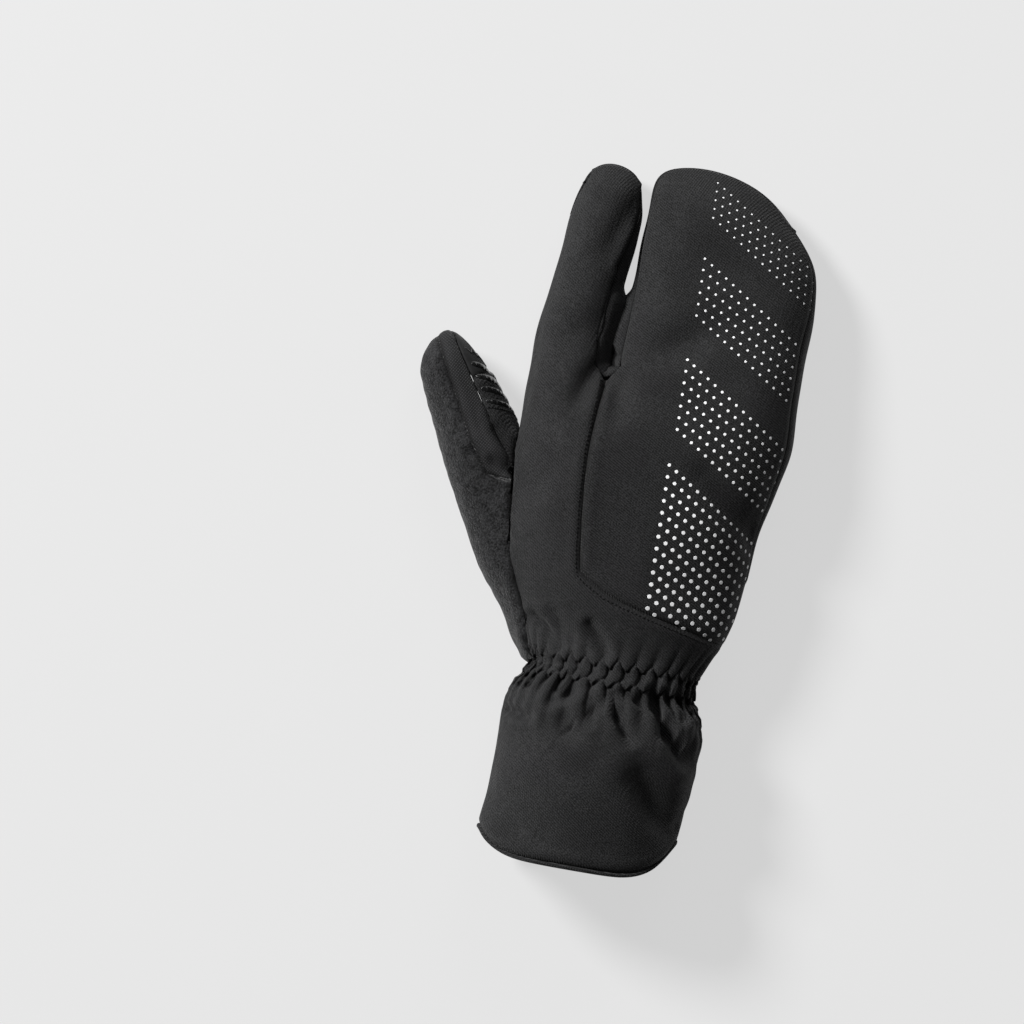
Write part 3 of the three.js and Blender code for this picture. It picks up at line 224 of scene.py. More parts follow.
class Cloth:
    """A subdivided panel as arrays, with its outer normals and its distance to the seams."""

    def __init__(self, obj):
        self.obj = obj
        mesh = obj.data
        self.co = read(mesh.vertices, "co", 3)
        quads = read(mesh.loops, "vertex_index", kind=np.int32).reshape(-1, 4)
        kinds = read(mesh.polygons, "material_index", kind=np.int32)
        normals = read(mesh.polygons, "normal", 3)
        count = len(self.co)
        self.normal = {}
        self.on = {}
        for kind in (OUTER, INNER, SEAM):
            faces = kinds == kind
            total = np.zeros((count, 3))
            for k in range(4):
                np.add.at(total, quads[faces, k], normals[faces])
            size = np.linalg.norm(total, axis=1)
            self.on[kind] = size > 0
            self.normal[kind] = total / np.maximum(size, 1e-9)[:, None]
        self.rim = np.flatnonzero(self.on[OUTER] & self.on[SEAM])
        self.nearest = np.zeros(count, int)
        self.distance = np.full(count, 99.0)
        if len(self.rim):
            tree = tree_of(self.co[self.rim])
            for v in range(count):
                _, index, far = tree.find(self.co[v])
                self.nearest[v] = self.rim[index]
                self.distance[v] = far / MM

    def shade_seams(self):
        """Stores how near each vertex is to a seam, from 0 to 1, for the material to darken as
        painted shade.
        """
        layer = self.obj.data.attributes.new("seam_shade", "FLOAT", "POINT")
        shade = np.exp(-(self.distance / SHADE_WIDTH) ** 2)
        layer.data.foreach_set("value", shade.astype(np.float32))

    def lift(self, heights_outer, heights_all, growth):
        """Moves the outer cloth by both heights, and the lining by the second one alone.

        The walls of the seams grow by a trace, so that neighbouring panels touch, and the
        lining grows more, as a seam allowance does, so that no light comes through.
        """
        outer, inner = self.on[OUTER], self.on[INNER]
        amount = np.where(inner, UNDERLAP, growth)
        moved = self.co + self.normal[SEAM] * (amount[:, None] * MM)
        moved[outer] += self.normal[OUTER][outer] * ((heights_outer + heights_all)[outer, None] * MM)
        moved[inner] -= self.normal[INNER][inner] * (heights_all[inner, None] * MM)
        wall = self.on[SEAM] & ~outer & ~inner
        if len(self.rim):
            root = self.nearest[wall]
            fade = np.clip(1 - self.distance[wall] / WALL_FADE, 0, 1)
            amount = heights_outer[root] * fade + heights_all[root]
            moved[wall] += self.normal[OUTER][root] * (amount[:, None] * MM)
        moved[:, 2] = np.maximum(moved[:, 2], LOWEST * MM)
        self.co = moved
        self.obj.data.vertices.foreach_set("co", moved.ravel())
        self.obj.data.update()


def smoothstep(t):
    t = np.clip(t, 0, 1)
    return t * t * (3 - 2 * t)


# %% [markdown]
# The wrist's elastic draws the cloth into narrow ridges. Their count and phase follow the
# solids, which already carry a plain version of them. Here each ridge gets a rounded crown,
# a sharp valley, its own depth, and a lean in the cuff below. The wrist's two edges are read
# from a short table, to turn a place on the cloth into a ridge number.

# %% Gathers of the wrist
RIDGES = 16
SIDE_SEAM = 25.2
edge_y = np.array([-78, -38.8, -22.5, -11.6, -5.8, 1.25, 7.5, 21.25])
edge_thumb = np.array([-46, -43.7, -43.5, -42.8, -40.1, -35.3, -37.5, -42.8])
edge_y_little = np.array([-78, -28, -15.5, -8.5, -4.65, 0, 5.6, 12.5, 20.6])
edge_little = np.array([36, 38.9, 37.9, 36, 33.7, 32.7, 33.3, 36.9, 41.1])
gather_y = np.array([-34, -24, -16, -10, -6, -2, 3, 8, 12, 18, 24])
gather_depth = np.array([0, 0.15, 0.6, 1.3, 2.0, 2.5, 2.4, 1.9, 0.9, 0.25, 0])
LOWER_LINE, LOWER_SWING = -2.2, 1.5
UPPER_LINE, UPPER_SWING = 5.7, 2.0
LOBE_SHIFT = 0.26
rng = np.random.default_rng(7)
ridge_at = np.arange(2 * RIDGES + 3)
ridge_share = rng.uniform(0.7, 1.2, len(ridge_at))
ridge_slip = rng.uniform(-0.12, 0.12, len(ridge_at))


def ridge_number(p):
    """Number of the ridge at places p: 0 to 16 across the back, 16 to 32 across the palm side."""
    left = np.interp(p[:, 1], edge_y, edge_thumb)
    right = np.interp(p[:, 1], edge_y_little, edge_little)
    across = np.clip((p[:, 0] - (left + right) / 2) / ((right - left) / 2), -1, 1)
    angle = np.arccos(across)
    back = p[:, 2] > SIDE_SEAM
    return np.where(back, (math.pi - angle) / math.pi, 1 + angle / math.pi) * RIDGES


def zigzag(t):
    """1 at whole numbers and -1 halfway between them, in straight slopes."""
    return 1 - 4 * np.abs(t - np.round(t))


def hump(t, power):
    """1 at whole numbers, 0 halfway between, with a round crown and a sharp valley."""
    return np.abs(np.cos(math.pi * t)) ** power


def gathers(p):
    y = p[:, 1]
    n = ridge_number(p)
    n = n + np.interp(n, ridge_at, ridge_slip) * smoothstep((np.abs(y - 2) + 2) / 8)
    share = np.interp(n, ridge_at, ridge_share)
    run = np.clip(-5 - y, 0, 25) * (n % RIDGES / RIDGES - 0.42)
    run = np.where(p[:, 2] > SIDE_SEAM, run, -run)
    lower = LOWER_LINE + LOWER_SWING * share * zigzag(n - 0.5)
    upper = UPPER_LINE + UPPER_SWING * share * zigzag(n - LOBE_SHIFT)
    cuff = hump(n - 0.11 * run - 0.5, 0.75)
    lobe = hump(n - LOBE_SHIFT * (y + 3.7) / 11.3, 0.7)
    hand = hump(n - LOBE_SHIFT - 0.5, 0.8)
    over_lower = smoothstep((y - lower) / 0.9 + 0.5)
    over_upper = smoothstep((y - upper) / 0.9 + 0.5)
    relief = cuff + (1.15 * lobe - cuff) * over_lower
    relief = relief + (hand - relief) * over_upper
    depth = np.interp(y, gather_y, gather_depth) * (0.5 + 0.5 * share)
    depth = depth * (1 - 0.8 * smoothstep((-6.5 - y) / 5) * smoothstep((5.5 - n) / 3))
    total = depth * (relief - 0.75)
    for line in (lower, upper):
        over = y - line
        total += np.where(over > 0, 0.55 * np.exp(-over / 1.8), -0.75 * np.exp(over / 1.5))
        total -= 0.5 * np.exp(-(over / 0.7) ** 2)
    return total


print("ridges round the wrist:", 2 * RIDGES)

# %% [markdown]
# Each long fold is a stroke: a valley from one place to another, with a width and a depth,
# that fades at both ends. They are listed from the wrist, in millimetres.

# %% Folds and dents in the cloth
back_folds = [
    # x0, y0, x1, y1, half width, depth
    (-38.0, 19.5, -26.5, 9.5, 2.3, 3.9),
    (-31.0, 21.0, -22.5, 12.0, 2.6, 2.3),
    (-14.5, 20.0, -6.0, 10.0, 2.2, 3.2),
    (-16.5, -7.5, -26.0, -13.8, 2.4, 3.2),
    (-17.6, -21.8, -15.4, -23.4, 4.8, 4.2),
    (-7.1, -11.0, -7.8, -17.5, 2.6, 3.6),
    (-43.0, -19.5, -33.0, -21.5, 2.0, 3.2),
    (0.2, -6.6, 3.2, -14.4, 2.0, 3.8),
    (3.2, -14.4, 9.8, -23.0, 2.2, 3.2),
    (15.9, -3.9, 24.4, -16.9, 2.7, 5.8),
    (24.4, -16.9, 33.5, -27.0, 3.4, 5.4),
    (6.8, -5.5, 14.5, -9.8, 1.7, 3.0),
    (25.9, -2.9, 33.0, -8.1, 1.9, 3.6),
    (20.5, -2.6, 29.5, -12.2, 1.7, 3.4),
    (17.0, -39.0, 32.0, -56.0, 6.0, 5.4),
    (-40.0, -58.0, -22.0, -66.0, 7.0, 1.6),
    (21.8, 87.5, 48.5, 66.0, 6.0, 3.0),
    (-7.0, 134.0, 13.0, 147.0, 6.5, 2.2),
    (-27.5, 190.0, -34.0, 172.0, 4.5, 1.6),
    (-52.0, 132.0, -36.0, 141.0, 6.0, 1.6),
    (-36.0, 108.0, -31.0, 122.0, 4.0, 1.9),
    (-18.0, 107.0, -20.5, 121.0, 4.5, 1.9),
    (10.0, 178.0, 34.0, 168.0, 7.0, 1.5),
    (-52.0, 66.0, -41.0, 82.0, 6.0, 1.2),
    (12.0, 45.0, 32.0, 36.0, 6.0, 1.0),
]
palm_folds = [
    (-30.0, 14.0, -16.0, 8.0, 2.6, 1.4),
    (6.0, 12.0, 20.0, 9.0, 2.4, 1.1),
    (-24.0, -9.0, -30.0, -20.0, 2.4, 1.6),
    (-6.0, -8.0, -10.0, -19.0, 2.2, 1.5),
    (10.0, -8.0, 15.0, -18.0, 2.2, 1.4),
]


def strokes(p, folds):
    total = np.zeros(len(p))
    for x0, y0, x1, y1, width, depth in folds:
        start = np.array([x0, y0])
        way = np.array([x1 - x0, y1 - y0])
        length = np.linalg.norm(way)
        t = np.clip(((p[:, :2] - start) @ way) / length ** 2, 0, 1)
        far = np.linalg.norm(p[:, :2] - start - t[:, None] * way, axis=1)
        fade = 0.35 + 0.65 * np.sin(math.pi * (0.12 + 0.76 * t))
        valley = np.exp(-(far / width) ** 2)
        shoulder = 0.22 * np.exp(-((far - 2.1 * width) / width) ** 2)
        total += depth * fade * (shoulder - valley)
    return total


def ripple(p, seed, size, height):
    """Slow unevenness of padding: a few crossing waves of about the given size, in millimetres."""
    waves = np.random.default_rng(seed)
    total = np.zeros(len(p))
    for _ in range(7):
        way = waves.normal(size=3)
        way *= 2 * math.pi / (size * waves.uniform(0.7, 1.5) * np.linalg.norm(way))
        total += np.sin(p @ way + waves.uniform(0, 6.28))
    return total * height / 2.6


SEAM_WIDTH = 0.95


def seam_heights(p, distance, dip, swell):
    """Heights beside a seam. Over the fingertips the seam lies flat."""
    flat = 1 - 0.7 * smoothstep((p[:, 1] - 180) / 14)
    groove = -dip * np.exp(-(distance / SEAM_WIDTH) ** 2)
    return flat * (groove + swell * np.exp(-((distance - 3.4) / 2.0) ** 2))


print("folds:", len(back_folds), "on the back and", len(palm_folds), "on the palm")

# %% [markdown]
# Finishes. Softshell is a dense matt cloth with a fine diagonal twill that just shows, a soft
# sheen, and small changes of tone. The twill is drawn from the object's own coordinates, across
# the back for the upper faces and along the side for steep ones, so that it keeps its size.

# %% Helpers for materials
WAVE = 0.314159
# How far the tone is darkened beside a seam, as painted shade.
SEAM_PAINTED_SHADE = 0.92


def material(name, color, roughness, sheen=0.0, coat=0.0, specular=0.5):
    m = bpy.data.materials.new(name)
    m.use_nodes = True
    settings = {"Base Color": (*color, 1), "Roughness": roughness, "Sheen Weight": sheen,
                "Sheen Roughness": 0.5, "Coat Weight": coat, "Coat Roughness": 0.15,
                "Specular IOR Level": specular}
    for key, value in settings.items():
        m.node_tree.nodes["Principled BSDF"].inputs[key].default_value = value
    m.diffuse_color = (*color, 1)
    return m


class Nodes:
    """A short way to write a material's nodes."""

    def __init__(self, m):
        self.tree = m.node_tree
        self.shader = self.tree.nodes["Principled BSDF"]

    def feed(self, target, value):
        """Sets an input to a number, or links it to a socket or to a node's first output."""
        if isinstance(value, (int, float, tuple)):
            target.default_value = value
        else:
            socket = value if isinstance(value, bpy.types.NodeSocket) else value.outputs[0]
            self.tree.links.new(socket, target)

    def new(self, kind, **inputs):
        n = self.tree.nodes.new("ShaderNode" + kind)
        for key, value in inputs.items():
            self.feed(n.inputs[key], value)
        return n

    def math(self, operation, a, b=None):
        n = self.new("Math")
        n.operation = operation
        self.feed(n.inputs[0], a)
        if b is not None:
            self.feed(n.inputs[1], b)
        return n

    def total(self, *layers):
        """The sum of pairs of (value, weight)."""
        total = None
        for value, weight in layers:
            part = self.math("MULTIPLY", value, weight)
            total = part if total is None else self.math("ADD", total, part)
        return total

    def where(self, turn=(0, 0, 0)):
        return self.new("Mapping", Rotation=turn, Vector=self.new("TexCoord").outputs["Object"])

    def noise(self, size, detail):
        """Noise with features of about the given size, in millimetres."""
        n = self.new("TexNoise", Scale=1 / (size * MM), Detail=detail, Vector=self.where())
        return n.outputs["Fac"]

    def stripes(self, period, turn, distortion=0.0):
        """Soft stripes of a period in millimetres, across the turned X axis."""
        n = self.new("TexWave", Scale=WAVE / (period * MM), Distortion=distortion, Detail=1.0,
                     Vector=self.where(turn))
        return n.outputs["Fac"]

    def mix(self, factor, a, b):
        n = self.new("Mix")
        n.data_type = "FLOAT"
        for i, value in ((0, factor), (2, a), (3, b)):
            self.feed(n.inputs[i], value)
        return n.outputs[0]

    def steep(self, axis):
        """How much a face points along an axis, from 0 to 1, with a soft step."""
        split = self.new("SeparateXYZ", Vector=self.new("NewGeometry").outputs["Normal"])
        size = self.math("ABSOLUTE", split.outputs[axis])
        return self.math("SMOOTH_MIN", self.math("MULTIPLY", size, size), 1.0).outputs[0]

    def painted_seam_shade(self, factor):
        """The factor, drawn to 0 beside a seam, as painted shade of the seam's groove."""
        shade = self.new("Attribute")
        shade.attribute_name = "seam_shade"
        bright = self.math("SUBTRACT", 1.0, self.math("MULTIPLY", shade.outputs["Fac"], SEAM_PAINTED_SHADE))
        return self.math("MULTIPLY", factor, bright)

    def tone(self, factor, dark, light):
        ramp = self.new("ValToRGB", Fac=factor)
        for element, color in zip(ramp.color_ramp.elements, (dark, light)):
            element.color = (*color, 1)
        self.feed(self.shader.inputs["Base Color"], ramp)

    def rough(self, factor, low, high):
        self.feed(self.shader.inputs["Roughness"], self.mix(factor, low, high))

    def bump(self, *layers):
        """Bump from pairs of (value, depth in millimetres), summed."""
        height = self.total(*((value, depth * MM) for value, depth in layers))
        n = self.new("Bump", Strength=1.0, Distance=1.0, Height=height)
        self.feed(self.shader.inputs["Normal"], n)


# %% [markdown]
# The black of the cloth isn't even. Twill lines, single threads, slow clouds and wear are added
# into one level, which sets the tone, and the same layers give the bump. Beside each seam the
# tone is darkened further as painted shade.

# %% Softshell: dense matt twill
TWILL = 0.92
BLUE = 1.04


def grey(v):
    return (v, v, v * BLUE)


def softshell(name, turn):
    m = material(name, grey(0.012), 0.8, sheen=0.06, specular=0.28)
    n = Nodes(m)
    upright = math.pi / 2
    over = n.stripes(TWILL, (0, 0, turn), 1.6)
    left = n.stripes(TWILL, (0.9, upright, 0), 1.6)
    front = n.stripes(TWILL, (0, 0.6, 0), 1.6)
    side = n.mix(n.steep("X"), front, left)
    twill = n.mix(n.steep("Z"), side, over)
    threads = n.noise(0.6, 3)
    cloud = n.noise(24, 3)
    wear = n.noise(3.2, 3)
    shown = n.math("ADD", n.math("MULTIPLY", n.noise(13, 2), 2.2), -0.2)
    twill = n.math("MULTIPLY", n.math("SUBTRACT", twill, 0.5), shown)
    level = n.total((twill, 1.05), (threads, 3.2), (cloud, 0.4))
    n.tone(n.painted_seam_shade(n.math("SUBTRACT", level, 1.3)), grey(0.0008), grey(0.026))
    n.rough(wear, 0.66, 0.86)
    n.bump((twill, 0.35), (threads, 0.35), (cloud, 0.3))
    return m


SOFTSHELL = softshell("softshell_twill", math.radians(-54))
SOFTSHELL_PANEL = softshell("softshell_twill_panel", math.radians(-60))
print("softshell made")

# %% [markdown]
# The back of the thumb is terry, a cloth of small loops for wiping the face. It looks like
# fine matt grain with clumps, and it catches light at its rim. The thumb's gusset is a knit
# with a fine grid, drawn along the thumb's own direction.

# %% Terry, knit, lining and the small cloths
def terry(name):
    m = material(name, grey(0.014), 0.95, sheen=0.18, specular=0.1)
    n = Nodes(m)
    loops = n.noise(0.75, 4)
    clumps = n.noise(3.0, 3)
    level = n.total((loops, 2.2), (clumps, 1.3))
    n.tone(n.painted_seam_shade(n.math("SUBTRACT", level, 1.25)), grey(0.002), grey(0.036))
    n.bump((loops, 0.7), (clumps, 0.7))
    return m


def grid_cloth(name, value, period, turn, depth):
    m = material(name, grey(value), 0.82, sheen=0.08, specular=0.25)
    n = Nodes(m)
    along = n.stripes(period, (0, 0, turn))
    across = n.stripes(period, (0, 0, turn + math.pi / 2))
    upright = n.stripes(period, (0, math.pi / 2, 0))
    net = n.math("MULTIPLY", n.mix(n.steep("Z"), upright, along), across)
    cloud = n.noise(9, 3)
    level = n.total((net, 1.0), (cloud, 0.4))
    n.tone(n.painted_seam_shade(n.math("SUBTRACT", level, 0.1)), grey(value * 0.15), grey(value * 2.4))
    n.bump((net, depth), (n.noise(0.4, 2), 0.05))
    return m


def plain_cloth(name, value, grain, depth, roughness=0.85, sheen=0.08):
    m = material(name, grey(value), roughness, sheen=sheen, specular=0.3)
    n = Nodes(m)
    fine = n.noise(grain, 3)
    cloud = n.noise(14, 2)
    level = n.total((fine, 0.6), (cloud, 0.4))
    n.tone(n.painted_seam_shade(level), grey(value * 0.3), grey(value * 1.5))
    n.rough(fine, roughness - 0.1, min(roughness + 0.08, 1))
    n.bump((fine, depth))
    return m


TERRY = terry("terry_fleece")
KNIT = grid_cloth("fine_knit", 0.016, 0.95, THUMB_LEAN, 0.22)
WOVEN = grid_cloth("woven_loop_tape", 0.010, 0.8, 0.0, 0.3)
LINING = plain_cloth("brushed_lining", 0.016, 1.3, 0.5, 0.95, 0.2)
TOUCH = plain_cloth("touch_cloth", 0.011, 0.5, 0.08)
# Black thread, made darker than any cloth so that it also gives the painted shade of the stitch
# holes.
THREAD_WITH_HOLE_SHADE = plain_cloth("sewing_thread", 0.002, 0.15, 0.03, 0.5, 0.0)
TAPE = grid_cloth("ribbed_tape", 0.012, 1.1, 0.1, 0.3)
print("cloths made")

# %% [markdown]
# The grip bars and the reflective dots are printed. Silicone is smooth, black and glossy, with
# faint unevenness that breaks up its highlights. The dots are a pale film of glass beads.

# %% Printed finishes
SILICONE = material("grip_silicone", grey(0.004), 0.26, coat=0.3, specular=0.6)
n = Nodes(SILICONE)
n.rough(n.noise(2.5, 3), 0.2, 0.34)
n.bump((n.noise(1.6, 2), 0.02))
DOTS = material("reflective_film", (0.83, 0.84, 0.85), 0.38, specular=0.6)
n = Nodes(DOTS)
n.tone(n.noise(0.25, 2), (0.88, 0.89, 0.9), (1, 1, 1))
n.rough(n.noise(0.3, 2), 0.3, 0.5)
print("prints made")

# %% [markdown]
# Now the panels. Each one is copied, told apart, creased and subdivided, and its heights are
# summed: seams for all of them, folds and ripples by the side they lie on, and gathers where
# the panel reaches the wrist.

# %% Dress the panels of the hand and cuff
BODY = "root"
LEVELS = 3
dressed = {}


def finish_piece(obj, node, materials, slot_name):
    for m in materials:
        obj.data.materials.append(m)
    obj.data.shade_smooth()
    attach(obj, BODY)
    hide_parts(node)
    dressed[node] = obj


def tip_reach(p):
    """Subdivision rounds the pocket's tip off by a millimetre; this gives it back."""
    return 1.2 * smoothstep((p[:, 1] - 192) / 18) * smoothstep((p[:, 0] + 22.5) / 2)


INDEX_SIDE = -40
side_y = [122, 135, 150, 165, 175, 183, 188, 192, 196, 199]
side_half_gap = [0, 0.5, 0.95, 1.1, 1.3, 1.45, 1.45, 1.55, 1.4, 0]
side_back_edge = [18.3, 17.2, 16.4, 15.3, 14.8, 14.4, 14.0, 13.9, 13.8, 13.8]
side_palm_edge = [18.3, 16.3, 14.6, 13.2, 12.3, 11.7, 11.4, 11.1, 10.8, 10.5]


def close_side(p, back):
    """Draws the two panels together along the index finger's outer side, as its seam does."""
    half_gap = np.interp(p[:, 1], side_y, side_half_gap) * (p[:, 0] < INDEX_SIDE)
    if back:
        above = p[:, 2] - np.interp(p[:, 1], side_y, side_back_edge)
        return -half_gap * (1 - smoothstep(above / 9))
    below = np.interp(p[:, 1], side_y, side_palm_edge) - p[:, 2]
    return half_gap * (1 - smoothstep(below / 8))


def panel(inside, node, name, cloth, slot_name, heights, dip, swell):
    bm = copied(node)
    tell_faces(bm, INSIDE[inside])
    kinds = [sum(f.material_index == k for f in bm.faces) for k in (OUTER, INNER, SEAM)]
    crease_seams(bm)
    obj = subdivided(bm, name, LEVELS)
    fabric = Cloth(obj)
    fabric.co[:, 1] += tip_reach(wrist_mm(fabric.co)) * MM
    if node in ("back_shell", "palm_shell", "index_tip_patch"):
        fabric.co[:, 2] += close_side(wrist_mm(fabric.co), node == "back_shell") * MM
    p = wrist_mm(fabric.co)
    skin = seam_heights(p, fabric.distance, dip, swell)
    deep = ripple(p, 3, 34, 0.35)
    if heights:
        more_skin, more_deep = heights(p, fabric)
        skin = skin + more_skin
        deep = deep + more_deep
    if inside == "thumb":
        fabric.co += away_from_thumb(p) * (deep[:, None] * MM)
        deep = np.zeros(len(p))
    fabric.shade_seams()
    fabric.lift(skin, deep, SEAM_GROWTH if inside == "hand" else THUMB_GROWTH)
    finish_piece(obj, node, [cloth, LINING, cloth], slot_name)
    print(name, "faces told apart:", kinds, "and", len(obj.data.polygons), "squares")


def along_thumb(p):
    """Places as (along, aside, z) of the thumb, in millimetres."""
    s, c = LEAN
    x, y = p[:, 0] - THUMB_BASE[0], p[:, 1] - THUMB_BASE[1]
    return np.stack((-s * x + c * y, -c * x - s * y, p[:, 2]), axis=1)


def away_from_thumb(p):
    """Directions away from the thumb's axis, the same for all its pieces: seams stay shut."""
    t = along_thumb(p)
    s, c = LEAN
    aside, up = t[:, 1] + 1.0, t[:, 2] - THUMB_MIDDLE
    far = np.maximum(np.hypot(aside, up), 1.0)
    return np.stack((-c * aside / far, -s * aside / far, up / far), axis=1)


STROKE_FADE = 4.5
tip_corners = [(-23.4, 196.8, 3.2, 0.45), (-47.6, 202.5, 2.6, 0.5)]


def back_heights(p, fabric):
    wrist = gathers(p) * fabric.on[OUTER]
    deep = strokes(p, back_folds) * (p[:, 2] > 20) * smoothstep(fabric.distance / STROKE_FADE)
    for x, y, size, depth in tip_corners:
        far = np.hypot(p[:, 0] - x, p[:, 1] - y)
        deep -= depth * np.exp(-(far / size) ** 2) * (p[:, 0] < -21.5)
    return wrist, deep


def palm_heights(p, fabric):
    wrist = gathers(p) * fabric.on[OUTER]
    free = smoothstep((p[:, 2] - 1.2) / 3) * 0.7 + 0.3
    shown = smoothstep((p[:, 2] - 0.5) / 2.5) * smoothstep(fabric.distance / STROKE_FADE)
    return wrist * free, strokes(p, palm_folds) * shown


def gusset_heights(p, fabric):
    """At the bottom of the slit the two sides of the strip bulge until they touch."""
    depth = smoothstep((160 - p[:, 1]) / 8) * smoothstep((p[:, 1] - CROTCH + 3) / 3)
    near = np.exp(-((p[:, 0] + 24) / 5) ** 2)
    middle = smoothstep(fabric.distance / 5)
    index_side = fabric.normal[OUTER][:, 0] > 0
    below_tip = 0.9 * np.exp(-((p[:, 1] - 189) / 6) ** 2) * near * index_side
    return 3.4 * depth * near * middle + below_tip, np.zeros(len(p))


hand_panels = [
    # node, name, cloth, slot, heights, dip at the seams, swelling beside them
    ("back_shell", "back_shell_cloth", SOFTSHELL, "softshell", back_heights, 0.85, 0.35),
    ("finger_back", "finger_back_cloth", SOFTSHELL_PANEL, "softshell", back_heights, 0.7, 0.35),
    ("palm_shell", "palm_cloth", SOFTSHELL, "softshell", palm_heights, 0.6, 0.35),
    ("cuff_palm", "cuff_palm_cloth", SOFTSHELL, "softshell", palm_heights, 0.85, 0.35),
    ("finger_gusset", "finger_gusset_cloth", SOFTSHELL, "softshell", gusset_heights, 0.5, 0.15),
    ("index_tip_patch", "index_touch_patch", TOUCH, "touch_cloth", None, 0.4, 0.1),
]
for row in hand_panels:
    panel("hand", *row)

# %% [markdown]
# The thumb is dressed the same way. Its fleece also gets a fine rough surface of its own, so
# that its outline isn't a hard line.

# %% Dress the thumb
thumb_folds = [
    # along0, aside0, along1, aside1, half width, depth
    (67.0, 3.0, 55.0, -4.0, 2.4, 2.4),
    (60.0, -3.5, 50.0, -12.0, 2.4, 2.6),
    (72.0, -9.0, 56.0, -13.0, 2.6, 2.0),
    (36.0, 12.0, 24.0, 2.0, 5.0, 1.0),
    (92.0, 6.0, 80.0, 12.0, 5.0, 0.6),
]


def thumb_heights(p, fabric):
    return np.zeros(len(p)), strokes(along_thumb(p), thumb_folds) * smoothstep((p[:, 2] - 10) / 9)


def fleece_heights(p, fabric):
    return ripple(p, 12, 7.0, 0.14), thumb_heights(p, fabric)[1]


thumb_panels = [
    ("thumb_back", "thumb_back_fleece", TERRY, "terry_fleece", fleece_heights, 0.6, 0.35),
    ("thumb_palm", "thumb_pad_cloth", SOFTSHELL, "softshell", thumb_heights, 0.5, 0.35),
    ("thumb_tip_patch", "thumb_touch_patch", TOUCH, "touch_cloth", None, 0.4, 0.1),
    ("thumb_gusset", "thumb_gusset_knit", KNIT, "fine_knit", thumb_heights, 0.5, 0.35),
]
for row in thumb_panels:
    panel("thumb", *row)

# %% [markdown]
# The flat pieces of the palm side are plain slabs: a strap, the woven patch that it grips, the
# heel pad, the cloth behind the slit and the tape round the hem. Their sharp edges get a half
# crease, which rounds them like folded cloth when they are subdivided.

# %% Dress the flat pieces
def slab(node, name, cloth, slot_name, crease, levels, change=None):
    bm = copied(node)
    layer = bm.edges.layers.float.new("crease_edge")
    for e in bm.edges:
        if len(e.link_faces) == 2 and e.calc_face_angle(0) > math.radians(48):
            e[layer] = crease
    if change:
        change(bm)
    obj = subdivided(bm, name, levels)
    finish_piece(obj, node, [cloth], slot_name)
    print(name, "squares:", len(obj.data.polygons))


PAD_FACE = 0.4


def lift_pad_face(bm):
    """Makes room for the grip bars under the heel pad."""
    for v in bm.verts:
        if v.co.z < 0.5 * MM:
            v.co.z = PAD_FACE * MM


def narrower(bm):
    """Draws the tape up to the hem of the cloth, as a narrow roll."""
    hem = tree_of([v.co for n in ("back_shell", "cuff_palm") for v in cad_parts[n].data.vertices])
    for v in bm.verts:
        edge = hem.find(v.co)[0]
        v.co.x += 0.85 * (edge.x - v.co.x) * (abs(edge.x - v.co.x) < 4 * MM)
        v.co.y = edge.y + 0.6 * (v.co.y - edge.y)
        v.co.z += 0.6 * (edge.z - v.co.z) * (abs(edge.z - v.co.z) < 4 * MM)


slab("closure_strap", "closure_strap_cloth", SOFTSHELL, "softshell", 0.7, 3)
slab("hook_patch", "hook_patch_weave", WOVEN, "woven_patch", 0.8, 2)
slab("palm_pad", "palm_pad_cloth", SOFTSHELL, "softshell", 0.6, 3, lift_pad_face)
slab("slit_gusset", "slit_gusset_cloth", SOFTSHELL, "softshell", 0.5, 2)
slab("hem_binding", "hem_binding_tape", TAPE, "edge_binding", 0.0, 2, narrower)

# %% [markdown]
# Prints and stitches lie on the dressed cloth, so each needs a place on it. A ray is sent
# straight down onto a panel for the back, or straight up for the palm, and the point that it
# meets, with the cloth's normal there, is where the print goes.

# %% Find places on the cloth
def surface_of(*nodes):
    """The outer faces of some pieces, to send rays at."""
    bm = bmesh.new()
    for node in nodes:
        bm.from_mesh(dressed[node].data)
    hidden = [f for f in bm.faces if f.material_index != OUTER]
    bmesh.ops.delete(bm, geom=hidden, context="FACES")
    tree = BVHTree.FromBMesh(bm)
    bm.free()
    return tree


def meet(surface, x, y, down=True):
    """The cloth's point and normal over or under a place, or None where there is no cloth."""
    start = place(x, y, 90 if down else -20)
    hit, normal, _, _ = surface.ray_cast(start, Vector((0, 0, -1 if down else 1)))
    return None if hit is None else (hit, normal)


def finish_print(obj, made, cloth):
    obj.data.materials.append(cloth)
    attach(obj, BODY)
    print(obj.name, "made of", made, "with", len(obj.data.polygons), "faces")


def joined(name, parts, cloth, smooth=True):
    """One object from copies of small shapes: parts are pairs of a template and a matrix."""
    bm = bmesh.new()
    for template, matrix in parts:
        before = len(bm.verts)
        bm.from_mesh(template)
        bm.verts.ensure_lookup_table()
        bmesh.ops.transform(bm, matrix=matrix, verts=bm.verts[before:])
    bmesh.ops.recalc_face_normals(bm, faces=bm.faces)
    obj = new_object(name, mesh_of(bm, name))
    if smooth:
        obj.data.shade_smooth()
    finish_print(obj, len(parts), cloth)


def seated(point, normal, way):
    """A matrix with Z along the normal and X along a way on the cloth."""
    z = normal.normalized()
    x = (way - z * way.dot(z)).normalized()
    y = z.cross(x)
    turn = Matrix((x, y, z)).transposed().to_4x4()
    return Matrix.Translation(point) @ turn


# %% [markdown]
# The reflective dots fill four slanted bands. Each row starts at the same line on the back of
# the hand and runs down towards the little finger. The step along a row is measured on the
# cloth itself, so the dots crowd together where it turns away over the side, and the dots grow
# from band to band.

